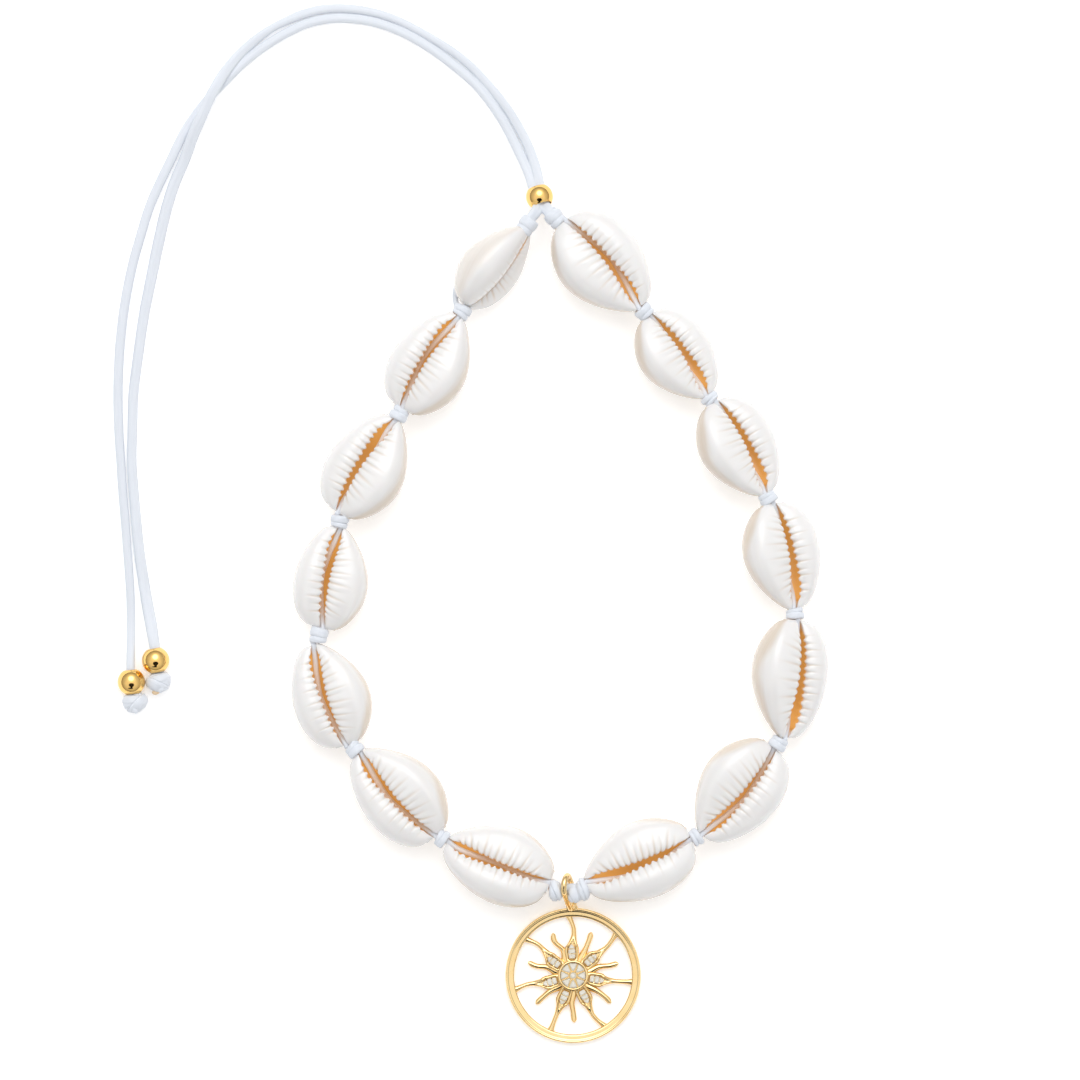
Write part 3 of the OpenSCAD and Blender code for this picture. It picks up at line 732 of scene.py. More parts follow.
# %% Where the shells' tips are
def lifted(shell):
    """How far the shell is raised, so that its lowest place rests on the surface."""
    part = stations(21)
    outside, _ = section_controls(part, shell[LENGTH], SHELL_WIDTH * shell[WIDER])
    points = np.dstack([np.broadcast_to((0.5 - part)[:, None], outside.shape[:2]), outside])
    return -placed(shell, points * shell[LENGTH])[..., 2].min()


def tip(shell, end):
    """A tip of a shell: the front one where end is 1, and the back one where it is -1."""
    return placed(shell, np.array([end * shell[LENGTH] / 2, 0, 0])) + [0, 0, lifted(shell)]


print("front tip of the first left shell:", tip(LEFT_SHELLS[0], 1).round(1))

# %% [markdown]
# Inside each shell the cord shows in the mouth: it comes in between the lips at one end, leans under
# one of them and leaves at the other end. It is a single strand, pressed a little flat.

# %% The cord through the shells
THREAD_HALF_WIDTH, THREAD_HALF_HEIGHT = 0.54, 0.42
THREAD_PLACES = [-0.04, 0.0, 0.06, 0.14, 0.28, 0.5, 0.72, 0.86, 0.94, 1.0, 1.04]  # From the front end
THREAD_LEAN, THREAD_SAG = 0.05, 0.05  # At most, as shares of the shell's length
THREAD_AROUND, THREAD_GIRTH = 16, 3.2
# Painted amber light on the strand in the middle of a shell, where the hollow's light falls on it
THREAD_PAINTED_AMBER = 0.32


def strand(line, warmth=0.0):
    """A single strand along a line. Its painted amber is how much amber light falls on it, for each ring,
    painted into its colour.
    """
    marks = cord_marks(line, THREAD_AROUND, THREAD_GIRTH)
    marks["warmth"] = np.repeat(warmth * np.ones(len(line)), THREAD_AROUND)
    return tube(line, ellipse(THREAD_HALF_WIDTH, THREAD_HALF_HEIGHT, THREAD_AROUND, 2.4), marks=marks)


def thread(shell):
    """The strand in a shell. It sags into the hollow and leans to one lip, as the table says."""
    route = []
    for part in THREAD_PLACES:
        bend = math.sin(math.pi * min(max(part, 0), 1))
        aside = MOUTH_BOW * bend**0.7 + THREAD_LEAN * shell[LEAN] * bend**2.4
        route.append(shell[LENGTH] * np.array([0.5 - part, aside, 0.01 - THREAD_SAG * bend**0.8]))
    line = placed(shell, smooth_line(route, 0.4)) + [0, 0, lifted(shell)]
    share = np.linspace(THREAD_PLACES[0], THREAD_PLACES[-1], len(line))
    return strand(line, THREAD_PAINTED_AMBER * ramp(share, 0.1, 0.26) * (1 - ramp(share, 0.78, 0.92)))


# The first left shell lies on its side, and the second strand passes along its far edge
ASIDE_STRAND = [(-19.0, 57.0, 6.4), (-19.6, 58.8, 5.6), (-19.8, 60.8, 5.0), (-19.3, 63.0, 4.4)]
for side, shells in SIDES.items():
    parts = [thread(shell) for shell in shells]
    if side == "left":
        parts.append(strand(smooth_line(ASIDE_STRAND, 0.3)))
    make_piece(f"cord_through_{side}_shells", parts, waxed_cotton, [f"thread_{side}"])
    print(len(parts), "strands on the", side)

# %% [markdown]
# Between two shells the cord is knotted into a short barrel: two flat turns lie side by side, one a
# little over the other. Each turn is a wide flat loop, tilted its own way, over a core.

# %% A turn of cord
KNOT_WIDTH = 3.5
KNOT_GAP, TIP_HALF = 0.3, 1.2  # Each shell keeps this gap, and more where its blunt tip stands askew
KNOT_REACH = 0.22  # The soft turns press out this far toward the shells
TURN_THICKNESS, TURN_SQUARENESS = 1.0, 2.6
TURN_STEPS, TURN_AROUND, TURN_GIRTH = 56, 14, 3.4
CORE_RINGS, CORE_AROUND = 15, 20


def loop_of_cord(middle, axis, radius, half_width, tilt):
    """One flat turn of cord round the axis, as a closed band that looks slanted from above."""
    across = unit(np.cross(axis, [0.0, 0.0, 1.0]))
    first = np.cross(across, axis)
    second = axis * math.sin(tilt) - across * math.cos(tilt)
    turn = full_turn(TURN_STEPS)[:, None]
    line = middle + (radius - TURN_THICKNESS / 2) * (first * np.cos(turn) + second * np.sin(turn))
    outward = unit(line - middle)
    sideways = np.cross(unit(np.roll(line, -1, 0) - np.roll(line, 1, 0)), outward)
    section = ellipse(half_width, TURN_THICKNESS / 2, TURN_AROUND, TURN_SQUARENESS)
    rings = line[:, None] + section[:, :1] * sideways[:, None] + section[:, 1:] * outward[:, None]
    along, around = np.meshgrid(np.linspace(0, 2 * np.pi * radius, TURN_STEPS),
                                np.linspace(0, TURN_GIRTH, TURN_AROUND, endpoint=False), indexing="ij")
    marks = {"along": along.ravel(), "around": around.ravel()}
    return rings.reshape(-1, 3), ring_faces(TURN_STEPS, TURN_AROUND, closed=True), marks


def core_of_knot(middle, axis, half_length, radius):
    """The buried middle of a knot, a blunt spindle."""
    slope = np.linspace(0.08, np.pi - 0.08, CORE_RINGS)
    line = middle + axis * (-half_length * np.cos(slope))[:, None]
    return tube(line, ellipse(1, 1, CORE_AROUND)[None] * (radius * np.sin(slope)**0.6)[:, None, None])


print("a turn of cord is", TURN_THICKNESS, "mm thick")

# %% A knot between two shells
def middle_of(node):
    """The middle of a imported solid's box, in millimetres."""
    low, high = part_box(node)
    return (np.array(low) + np.array(high)) / 2 / MM


def knot(name, axis, size, seed, more=(), slip=(0, 0, 0)):
    """Two flat turns over a core, one wide and one narrow, and more parts where they are asked for."""
    node = name.replace("cord_", "")
    middle = middle_of(node) + slip
    chance = np.random.default_rng(seed)
    length = size + 2 * KNOT_REACH
    half = KNOT_WIDTH / 2
    lean = math.radians(chance.uniform(4, 10)) * chance.choice([-1, 1])
    flip = chance.choice([-1, 1])
    narrow, wide = -0.27 * flip * length * axis, 0.17 * flip * length * axis
    parts = [core_of_knot(middle, axis, length / 2 - 0.15, half - 0.3),
             loop_of_cord(middle + narrow, axis, half - 0.08, 0.23 * length, lean),
             loop_of_cord(middle + wide, axis, half + 0.05, 0.32 * length, -0.5 * lean)]
    return make_piece(name, [*parts, *more], waxed_cotton, [node])


def heading_of(degrees):
    """A level direction."""
    return np.array([math.cos(math.radians(degrees)), math.sin(math.radians(degrees)), 0.0])


print("middle of the first left knot:", middle_of("knot_left_1").round(1))

# %% The twelve knots between shells
for side, shells in SIDES.items():
    end = -1 if side == "left" else 1
    for number, (one, other) in enumerate(zip(shells, shells[1:]), 2):
        p, q = tip(one, end), tip(other, -end)
        mean = unit(heading_of(one[HEADING]) + heading_of(other[HEADING]))
        along = unit(unit(q - p) + end * mean)
        room = sum(KNOT_GAP + TIP_HALF * np.linalg.norm(np.cross(along, heading_of(s[HEADING])))
                   for s in (one, other))
        knot(f"cord_knot_{side}_{number}", along, (q - p) @ along - room, 20 + number + 8 * end)
print("twelve knots between shells")

# %% The knots beside the slide bead
TOP_KNOTS = {
    # heading, length, and how far the soft knot has slipped from its packed place
    "left": (235, 2.9, (-0.5, -0.6, 0.0)), "right": (310, 2.6, (-0.9, -0.1, 0.0))}
ARMS = {
    # how far the two strands twist on the way, and the way from inside the bead to the knot
    "left": (1.2, [(-3.5, 78.3, 4.8), (-3.7, 77.0, 5.4), (-4.3, 76.0, 6.3), (-5.2, 74.9, 6.8),
                   (-6.2, 73.6, 6.9)]),
    "right": (0.3, [(-2.9, 78.2, 4.6), (-2.5, 77.4, 5.4), (-1.8, 76.6, 6.2), (-1.1, 75.8, 6.8),
                    (-0.3, 75.0, 7.0)])}
ARM_SIZE, ARM_SPREAD, ARM_GIRTH = 1.15, 0.55, 5.0  # The strands lie looser here than in the tails
for side, (heading, size, slip) in TOP_KNOTS.items():
    twist, route = ARMS[side]
    line = smooth_line(route, 0.25)
    section = ARM_SIZE * doubled_section(np.full(len(line), ARM_SPREAD))
    section = spun(section, np.linspace(0, twist, len(line))[:, None])
    arm = tube(line, section, marks=cord_marks(line, CORD_AROUND, ARM_GIRTH))
    knot(f"cord_knot_{side}_1", heading_of(heading), size, 60, [arm], slip)
    print(side, "arm is", round(length_of(line), 1), "mm long")

# %% A ball of wraps
BALL_RINGS, BALL_AROUND = 72, 110
CREASE, CREASE_WIDTH = 0.12, 0.10  # How deep and wide the crease beside a wrap is, in millimetres


def wrapped_ball(middle, axis, half_sizes, bands, bluntness=2.0):
    """A ball of cord wraps. Half sizes run along the axis, across it and up. A band has the angle of
    its wrap as seen from above, its place, its half width and how far it stands out. Each band lies
    over those before it."""
    axes = np.stack([axis, np.cross([0.0, 0.0, 1.0], axis), np.array([0.0, 0.0, 1.0])])
    slope = np.linspace(0.02, np.pi - 0.02, BALL_RINGS)[:, None]
    turn = full_turn(BALL_AROUND)[None, :]
    ray = np.stack([np.cos(slope) + 0 * turn, np.sin(slope) * np.cos(turn), np.sin(slope) * np.sin(turn)], 2)
    scaled = np.abs(ray / half_sizes)
    across_axis = np.hypot(scaled[..., 1], scaled[..., 2])
    far = (scaled[..., 0]**bluntness + across_axis**bluntness)**(-1 / bluntness)
    form = ray * far[..., None]
    lift, across = np.zeros(far.shape), np.zeros(far.shape)
    for angle, place, half_width, height in bands:
        off = form[..., 0] * math.cos(angle) + form[..., 1] * math.sin(angle) - place
        share = np.abs(off) / half_width
        on_top = share < 1
        lift = np.where(on_top, height * (1 - 0.6 * share**6), lift)
        lift -= CREASE * np.exp(-((off + half_width) / CREASE_WIDTH)**2)
        across = np.where(on_top, off + 10 * place, across)
    points = middle + (form + ray * lift[..., None]) @ axes
    marks = {"along": (turn * half_sizes[1] + 0 * slope).ravel(), "around": across.ravel()}
    return points.reshape(-1, 3), ring_faces(BALL_RINGS, BALL_AROUND), marks


print("a ball has", BALL_RINGS * BALL_AROUND, "points, enough for its creases")

# %% The knots beside the pendant, and the cord behind its bail
BOTTOM_BALLS = {
    # middle, heading, half sizes, wraps
    "left": [((-0.85, -52.5, 6.9), 0, (1.25, 1.95, 1.8),
              [(0.35, -0.75, 0.5, 0.1), (0.45, 0.35, 0.6, 0.28)])],
    "right": [((2.75, -53.1, 6.6), 0, (1.3, 1.7, 1.5), [(0.55, 0.0, 0.95, 0.1)]),
              ((4.35, -52.35, 6.9), 0, (1.25, 2.05, 1.8), [(0.5, -0.45, 0.5, 0.12), (0.4, 0.55, 0.55, 0.3)])]}
for side, balls in BOTTOM_BALLS.items():
    parts = [wrapped_ball(np.array(middle), heading_of(heading), half_sizes, bands, 2.6)
             for middle, heading, half_sizes, bands in balls]
    make_piece(f"cord_knot_{side}_8", parts, waxed_cotton, [f"knot_{side}_8"])
line = smooth_line([[-0.4, -51.9, 7.0], [1.4, -52.0, 6.8], [3.2, -51.9, 7.0]], 0.3)
part = tube(line, ellipse(0.85, 0.72, 20, 2.3), marks=cord_marks(line, 20, 4.4))
make_piece("cord_behind_bail", [part], waxed_cotton, ["thread_pendant"])
print("cord behind the bail is", round(length_of(line), 1), "mm long")

# %% Stopper knots
END_KNOTS = {
    # heading, hand, and how far the soft knot has slipped from its packed place
    "left": (280, 1, (0.1, 0.3, 0.0)), "right": (281, -1, (-0.35, 0.2, 0.0))}
for side, (heading, hand, slip) in END_KNOTS.items():
    axis = heading_of(heading)
    across = np.cross([0.0, 0.0, 1.0], axis)
    middle = middle_of(f"end_knot_{side}") - 0.3 * axis + slip
    wraps = [(-0.2 * hand, -0.55, 0.8, 0.14), (0.65 * hand, 0.95, 0.95, 0.2)]
    cut_end = middle + 1.35 * axis - 0.3 * hand * across + [0, 0, 1.3]
    parts = [wrapped_ball(middle, axis, (1.9, 2.35, 1.9), wraps, 2.15),
             wrapped_ball(cut_end, unit(axis + 0.5 * hand * across), (0.95, 0.55, 0.45), [])]
    if side == "right":
        singed = middle + 1.9 * axis - 0.9 * across + [0, 0, 0.3]
        points, faces, marks = wrapped_ball(singed, axis, (0.5, 0.8, 0.6), [])
        parts.append((points, faces, {**marks, "warmth": np.full(len(points), 1.3)}))
    make_piece(f"cord_end_knot_{side}", parts, waxed_cotton, [f"end_knot_{side}"])
print("two stopper knots")

# %% [markdown]
# Beads, rim, rays and bail are cast brass, polished and plated with gold. Polished metal shows hardly
# anything but its surroundings, tinted warm. Faint wear keeps it from looking like a mirror. The metal
# keeps the default IOR, because its colour already says how it reflects.

# %% Polished gold plate
POLISHING_LINE = 0.2  # Millimetres between marks left by the wheel, coarser than the real ones
WEAR_PATCH = 2.5  # Millimetres across a patch that is rubbed a little duller


def gold(name, deep, pale):
    """Polished plate between two tones. A thicker plate of purer gold is the deeper one."""
    finish, tree, shader = new_finish(name, {"Metallic": 1.0})
    place = add(tree, "TexCoord").outputs["Object"]
    wear = add(tree, "TexNoise", {"Scale": 1 / (WEAR_PATCH * MM), "Detail": 4.0}, {"Vector": place})
    wheel = add(tree, "TexNoise", {"Scale": 1 / (POLISHING_LINE * MM), "Detail": 2.0}, {"Vector": place})
    tone = add(tree, "Mix", {"data_type": "RGBA", MIX_A: linear(deep), MIX_B: linear(pale)},
               {MIX_FACTOR: wear.outputs["Fac"]})
    tree.links.new(tone.outputs[MIX_RESULT], shader.inputs["Base Color"])
    gloss = add(tree, "MapRange", {"To Min": 0.05, "To Max": 0.12}, {"Value": wear.outputs["Fac"]})
    tree.links.new(gloss.outputs["Result"], shader.inputs["Roughness"])
    marks_left = add(tree, "Bump", {"Strength": 0.03, "Distance": 0.02 * MM},
                     {"Height": wheel.outputs["Fac"]})
    tree.links.new(marks_left.outputs["Normal"], shader.inputs["Normal"])
    print(name, "from", [round(c, 2) for c in linear(deep)[:3]])
    return finish


bead_gold = gold("yellow_gold_plate", "#EFC06C", "#F6D088")
pendant_gold = gold("pale_gold_plate", "#F0C986", "#F8E0AE")

# %% Drilled beads
BEAD_STEPS, BEAD_AROUND, BEAD_EASE = 40, 72, 0.12


def lathed(profile, middle, steps, axis=(0.0, 0.0, 1.0), aside=(0.0, -1.0, 0.0)):
    """A closed profile of radius and height turned about the axis. It starts square to axis and aside."""
    side = unit(np.cross(axis, aside))
    turn = full_turn(steps)[:, None]
    spoke = np.cos(turn) * side + np.sin(turn) * np.cross(axis, side)
    rings = middle + profile[:, :1] * spoke[:, None] + profile[:, 1:] * np.asarray(axis)
    return rings.reshape(-1, 3), ring_faces(steps, len(profile), closed=True), {}


def bead(name, node, direction, size, bore):
    """A drilled ball, turned as one profile: round outside, eased edges, straight bore."""
    radius, mouth = size / 2, bore / 2 + BEAD_EASE
    start = math.asin(mouth / radius)
    slope = np.linspace(start, np.pi - start, BEAD_STEPS)
    outside = radius * np.stack([np.sin(slope), np.cos(slope)], axis=1)
    end = radius * math.cos(start)
    corner = np.linspace(0, np.pi / 2, 5)[1:]
    foot = np.stack([mouth - BEAD_EASE * np.sin(corner),
                     BEAD_EASE * (1 - np.cos(corner)) - end - 0.02], axis=1)
    heights = np.linspace(BEAD_EASE - end, end - BEAD_EASE, 10)[1:-1]
    bore_line = np.stack([np.full(8, bore / 2), heights], axis=1)
    profile = np.vstack([outside, foot, bore_line, foot[::-1] * [1, -1]])
    part = lathed(profile, middle_of(node), BEAD_AROUND, unit(direction), (0.3, 0.2, 1.0))
    return make_piece(name, [part], bead_gold, [node])


down_slope = math.tan(math.radians(14))
bead("gold_slide_bead", "slide_bead", heading_of(107) - [0, 0, down_slope], 5.2, 3.6)
end_beads = {side: bead(f"gold_end_bead_{side}", f"end_bead_{side}", heading_of(heading), 5.3, 2.4)
             for side, heading in (("left", 277), ("right", 281))}
print("three gold beads")

# %% [markdown]
# The pendant is cast in one piece and set with small stones. Its rim is one profile carried round a
# circle, with a bevelled front. Seven long rays wave out to it, each with a leaf-shaped tray for stones
# at its root, and seven short rays with round tips stand between them. A ray's top is a height field
# over its outline, so the same function makes a domed blade and a tray with a raised edge.

# %% The pendant's rim
PENDANT = np.array([2.6, -68.9, 0.0])
RIM_RADIUS, RIM_WIDTH, RIM_HEIGHT = 12.9, 1.7, 1.8
RIM_EDGE, RIM_BEVEL = 0.45, 0.2  # A raised edge runs round the face, with bevels on both its sides
RIM_SUNK, RIM_DISH = 0.16, 0.02  # How far the face lies below the edge, and dips on toward the middle


def rounded(corners, radius):
    """A closed outline with its corners rounded off. A point soon after each corner keeps the flat
    sides looking flat when the shading is smoothed."""
    corners = np.array(corners, float)
    points = []
    for before, here, after in zip(np.roll(corners, 1, 0), corners, np.roll(corners, -1, 0)):
        cut = min(radius, np.linalg.norm(before - here) / 2.01, np.linalg.norm(after - here) / 2.01)
        one, other = here + cut * unit(before - here), here + cut * unit(after - here)
        if np.linalg.norm(before - here) > 4 * cut:
            points.append(here + 1.3 * (one - here))
        for t in np.linspace(0, 1, 5):
            points.append((1 - t)**2 * one + 2 * t * (1 - t) * here + t**2 * other)
        if np.linalg.norm(after - here) > 4 * cut:
            points.append(here + 1.3 * (other - here))
    return np.array(points)


inside = RIM_RADIUS - RIM_WIDTH
face = RIM_HEIGHT - RIM_SUNK
rim = lathed(rounded([
    (inside, 0.0), (RIM_RADIUS, 0.0), (RIM_RADIUS, RIM_HEIGHT - 2 * RIM_BEVEL),
    (RIM_RADIUS - RIM_BEVEL, RIM_HEIGHT), (RIM_RADIUS - RIM_EDGE, RIM_HEIGHT),
    (RIM_RADIUS - RIM_EDGE - RIM_BEVEL, face), (inside + RIM_BEVEL, face - RIM_DISH),
    (inside, face - RIM_DISH - RIM_BEVEL)], 0.14), PENDANT, 200)
print("rim", 2 * RIM_RADIUS, "mm across")

# %% The rays' outlines
RAYS, FIRST_RAY, SHORT_TURN = 7, 93.0, -2.5
RAY_FOOT, RAY_SIDE, RAY_HEIGHT, LEAF_HEIGHT = 0.4, 0.35, 0.9, 1.3
TRAY = RAY_FOOT + RAY_HEIGHT  # The floor under the stones, in the leaves and in the centre
# Half widths at distances from the middle, of long rays, short rays and the leaf-shaped trays
LONG_RAY = [(2.5, 1.1), (3.6, 1.25), (5.2, 1.35), (6.4, 0.8), (7.8, 0.5), (8.8, 0.46), (9.8, 0.46),
            (10.8, 0.55), (11.5, 0.75)]
SHORT_RAY = [(2.5, 0.9), (4.0, 0.65), (5.5, 0.48), (6.4, 0.46), (7.2, 0.46), (8.0, 0.5), (8.5, 0.46),
             (8.75, 0.28)]
LEAF = [(3.2, 0.72), (4.2, 0.84), (5.4, 0.78), (6.4, 0.3), (7.0, 0.08)]
# How far each ray bends to its left, clockwise from the first: long ones past their middle and at their
# rim end, short ones at their middle, past it and at their tip
LONG_BENDS = [(-0.6, 0.25), (-0.2, 0.55), (0.35, 0.7), (-0.3, 0.7), (0, 0.1), (-0.7, -0.4), (-0.9, -0.37)]
SHORT_BENDS = [(-0.45, 0.3, 0), (0, 0.1, 0.3), (0.45, 0.2, 0.25), (0.45, 0.55, 0.33), (-0.3, 0, 0.12),
               (-0.4, -0.4, -0.27), (-0.45, -0.25, -0.55)]
LONG_BEND_AT, SHORT_BEND_AT = (4.0, 5.2, 8.6, 11.4), (2.4, 3.4, 5.2, 7.2, 8.8)
print("rays reach", LONG_RAY[-1][0], "and", SHORT_RAY[-1][0], "mm from the middle")

# %% Wavy rays
ACROSS = np.sin(np.linspace(-np.pi / 2, np.pi / 2, 21))  # From side to side, closer at the sides
TRAY_START, LEAF_END = (2.9, 3.2), (5.8, 7.6)  # Stretches where the tray begins and the leaf fades out


def ray(widths, bend_line, angle, leaf=None):
    """A part for one ray. With a leaf, its root is a tray that is sunk inside that outline."""
    edge = smooth_line(widths, 0.12)
    reach, half = edge[:, 0], (1 if leaf else 1.12) * edge[:, 1]
    if leaf is None:
        end = np.linspace(0, np.pi / 2, 8)[1:]
        reach = np.append(reach, reach[-1] + 0.22 * np.sin(end))
        half = np.append(half, half[-1] * np.cos(end).clip(0.02))
    bend_line = smooth_line(bend_line, 0.1)
    bend = np.interp(reach, bend_line[:, 0], bend_line[:, 1])
    s = ACROSS[None, :]
    dome = np.sqrt(1 - 0.97 * s**2)
    top = RAY_FOOT + RAY_SIDE + (RAY_HEIGHT - RAY_SIDE) * dome * np.ones_like(reach)[:, None]
    if leaf is not None:
        tray_half = np.interp(reach, *zip(*leaf), left=0.6, right=0.0)[:, None]
        share = np.clip(tray_half / half[:, None], 0, 0.8)
        leafy = (1 - ramp(reach, *LEAF_END))[:, None]
        wall_top = RAY_FOOT + LEAF_HEIGHT * (0.62 + 0.38 * np.sqrt(1 - (np.abs(s) * 0.98)**6))
        in_tray = 1 - ramp(np.abs(s), share - 0.06, share + 0.06)
        sunk = in_tray * ramp(reach, *TRAY_START)[:, None] * (share > 0.05)
        leaf_top = mix(wall_top, TRAY + 0.02, sunk)
        top = mix(top, leaf_top, leafy)
    side = bend[:, None] + half[:, None] * s
    x = np.broadcast_to(reach[:, None], side.shape)
    upper = np.stack([x, side, top], axis=2)
    lower = np.stack([x, side, np.full(side.shape, RAY_FOOT)], axis=2)[:, ::-1]
    rings = spun(np.concatenate([upper, lower], axis=1), math.radians(angle)) + PENDANT
    return rings.reshape(-1, 3), ring_faces(*rings.shape[:2]), {}


rays = []
for k in range(RAYS):
    angle = FIRST_RAY - k * 360 / RAYS
    long_line = list(zip(LONG_BEND_AT, (0, 0, *LONG_BENDS[k])))
    short_line = list(zip(SHORT_BEND_AT, (0, 0, *SHORT_BENDS[k])))
    rays.append(ray(LONG_RAY, long_line, angle, LEAF))
    rays.append(ray(SHORT_RAY, short_line, angle + 180 / RAYS + SHORT_TURN))
print(len(rays), "rays")

# %% The centre's cups
CENTRE_RADIUS, BEZEL_WIDTH, CENTRE_HEIGHT = 3.0, 0.55, 1.5
HUB_RADIUS, CUP_REACH, PARTITION = 0.76, 2.5, 0.15
CUPS = 8
inside = CENTRE_RADIUS - BEZEL_WIDTH
centre_top = RAY_FOOT + CENTRE_HEIGHT
centre = lathed(rounded([
    (0.02, RAY_FOOT), (CENTRE_RADIUS, RAY_FOOT), (CENTRE_RADIUS, RAY_FOOT + 0.75 * CENTRE_HEIGHT),
    (CENTRE_RADIUS - 0.18, centre_top), (inside, centre_top), (inside - 0.05, TRAY), (0.02, TRAY)],
    0.12), PENDANT, 120)


def on_circle(radius, turn, height):
    """Points on a circle of the pendant's face."""
    return np.stack([radius * np.cos(turn), radius * np.sin(turn), height + 0 * turn], axis=-1) + PENDANT


cups = []
for turn in 2 * np.pi * (np.arange(CUPS) + 0.5) / CUPS:
    ends = [on_circle(radius, turn, TRAY + 0.25) for radius in (HUB_RADIUS, CUP_REACH)]
    cups.append(tube(smooth_line(ends, 0.2), ellipse(PARTITION / 2, 0.25, 10, 3.0)))
hub_line = on_circle(HUB_RADIUS, full_turn(48), TRAY + 0.25)
cups.append(tube(hub_line, ellipse(0.08, 0.26, 10), closed=True))
make_piece("gold_sun_pendant", [rim, *rays, centre, *cups], pendant_gold, ["sun_pendant"])
print("triangles in the pendant:", triangles_made["gold_sun_pendant"])

# %% [markdown]
# The bail is a long link of round wire that the cord passes through, soldered to the top of the rim.
# It leans back over the knots, so it is drawn as an oval line in its own slanted plane.

# %% The bail
BAIL_TOP, BAIL_FOOT = np.array([-1.6, 18.4, 8.7]), np.array([0.1, 13.6, 1.3])
BAIL_WIRE, BAIL_INNER = 1.15, 2.45  # How thick the wire is, and how wide the link is inside
BAIL_LEAN = -30.0  # Degrees that the link is turned about its own length
SOLDER_RADIUS = 0.85


def bail():
    """A closed loop of wire: two straight sides between two half turns."""
    run = BAIL_TOP - BAIL_FOOT
    rise = unit(run)
    tilt = math.acos(rise[2])
    swing = math.atan2(rise[1], rise[0])
    turn = Matrix.Rotation(swing, 3, "Z") @ Matrix.Rotation(tilt, 3, "Y") @ Matrix.Rotation(
        math.radians(BAIL_LEAN), 3, "Z")
    radius = (BAIL_INNER + BAIL_WIRE) / 2
    straight = np.linalg.norm(run) - 2 * radius
    half_turn = np.linspace(0, np.pi, 30)
    arc = radius * np.stack([np.cos(half_turn), 0 * half_turn, np.sin(half_turn)], axis=1)
    left, right = [-radius, 0, radius + straight / 2], [radius, 0, radius + straight / 2]
    loop = np.vstack([arc + [0, 0, radius + straight], left, [0, 0, radius] - arc, right])
    line = loop @ np.array(turn).T + BAIL_FOOT + PENDANT
    flat = np.array(turn) @ np.array([0.0, 1.0, 0.0])
    return tube(line, ellipse(BAIL_WIRE / 2, BAIL_WIRE / 2, 20), closed=True, up=tuple(flat))


def solder():
    """The drop of solder that joins bail and rim."""
    middle = PENDANT + [BAIL_FOOT[0], RIM_RADIUS - 0.05, RIM_HEIGHT - 0.75]
    slope = np.linspace(0.05, np.pi - 0.05, 17)
    line = middle - SOLDER_RADIUS * np.cos(slope)[:, None] * [1, 0, 0]
    return tube(line, SOLDER_RADIUS * ellipse(1, 1, 24)[None] * np.sin(slope)[:, None, None])


make_piece("gold_bail", [bail(), solder()], pendant_gold)
print("bail of", BAIL_WIRE, "mm wire")

# %% [markdown]
# The stones are small clear crystals, cut with a flat table and a ring of facets, and polished. Their
# facets lie so close together that the eye sees pale, milky stones with a little sparkle.

# %% Clear crystal
CRYSTAL_IOR = 1.76  # As of white sapphire
HAZE = 1.1  # Millimetres across a hazy patch, about one stone

clear_crystal, tree, shader = new_finish("clear_crystal", {
    "IOR": CRYSTAL_IOR, "Transmission Weight": 0.15})
place = add(tree, "TexCoord").outputs["Object"]
haze = add(tree, "TexNoise", {"Scale": 1 / (HAZE * MM)}, {"Vector": place})
tone = add(tree, "Mix", {"data_type": "RGBA", MIX_A: linear("#DCD4C0"), MIX_B: linear("#FFFEF6")},
           {MIX_FACTOR: haze.outputs["Fac"]})
tree.links.new(tone.outputs[MIX_RESULT], shader.inputs["Base Color"])
gloss = add(tree, "MapRange", {"To Min": 0.0, "To Max": 0.06}, {"Value": haze.outputs["Fac"]})
tree.links.new(gloss.outputs["Result"], shader.inputs["Roughness"])
print("crystal with an index of", CRYSTAL_IOR)

# %% A cut stone
STONE_FOOT = TRAY + 0.1  # A hair above the floor of the trays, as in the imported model
TABLE_SHARE = 0.58


def cut_stone(outline, height, angle=0.0):
    """A faceted stone over an outline of the pendant's face: a table, a ring of facets round it, a
    girdle and a plain underside."""
    outline = np.asarray(outline)
    count = len(outline)
    middle = outline.mean(axis=0)
    between = (outline + np.roll(outline, -1, 0)) / 2
    levels = [(outline, 0.80, 0.0), (outline, 1.0, 0.45 * height), (between, 0.84, 0.76 * height),
              (outline, TABLE_SHARE, height)]
    points = [np.column_stack([spun(mix(middle, shape, share), angle), np.full(count, STONE_FOOT + z)])
              for shape, share, z in levels]
    girdle, star, table = count, 2 * count, 3 * count
    faces = [tuple(range(count - 1, -1, -1)), tuple(range(table, table + count))]
    for k in range(count):
        n = (k + 1) % count
        faces.append((k, n, girdle + n, girdle + k))
        faces.append((girdle + k, girdle + n, star + k))
        faces.append((star + k, girdle + n, star + n, table + n))
        faces.append((table + k, star + k, table + n))
    return np.vstack(points) + PENDANT, faces, {}


def wedge_outline(near, far, near_half, far_half, cut=0.16):
    """A wedge with cut corners that lies along the x axis."""
    one_side = [(near, near_half - 0.6 * cut), (near + cut, near_half),
                (mix(near, far, 0.5), mix(near_half, far_half, 0.55)),
                (far - cut, far_half), (far, far_half - 1.4 * cut)]
    return np.array([(x, -y) for x, y in one_side] + one_side[::-1])


print("stones stand on", round(STONE_FOOT, 2), "mm")

# %% All the stones
centre_stones = [cut_stone(ellipse(0.62, 0.62, 8), 0.5)]
for turn in full_turn(CUPS):
    centre_stones.append(cut_stone(wedge_outline(0.9, 2.36, 0.24, 0.78), 0.45, turn))
make_piece("crystals_in_centre", centre_stones, clear_crystal, ["centre_stones"], smooth=False)

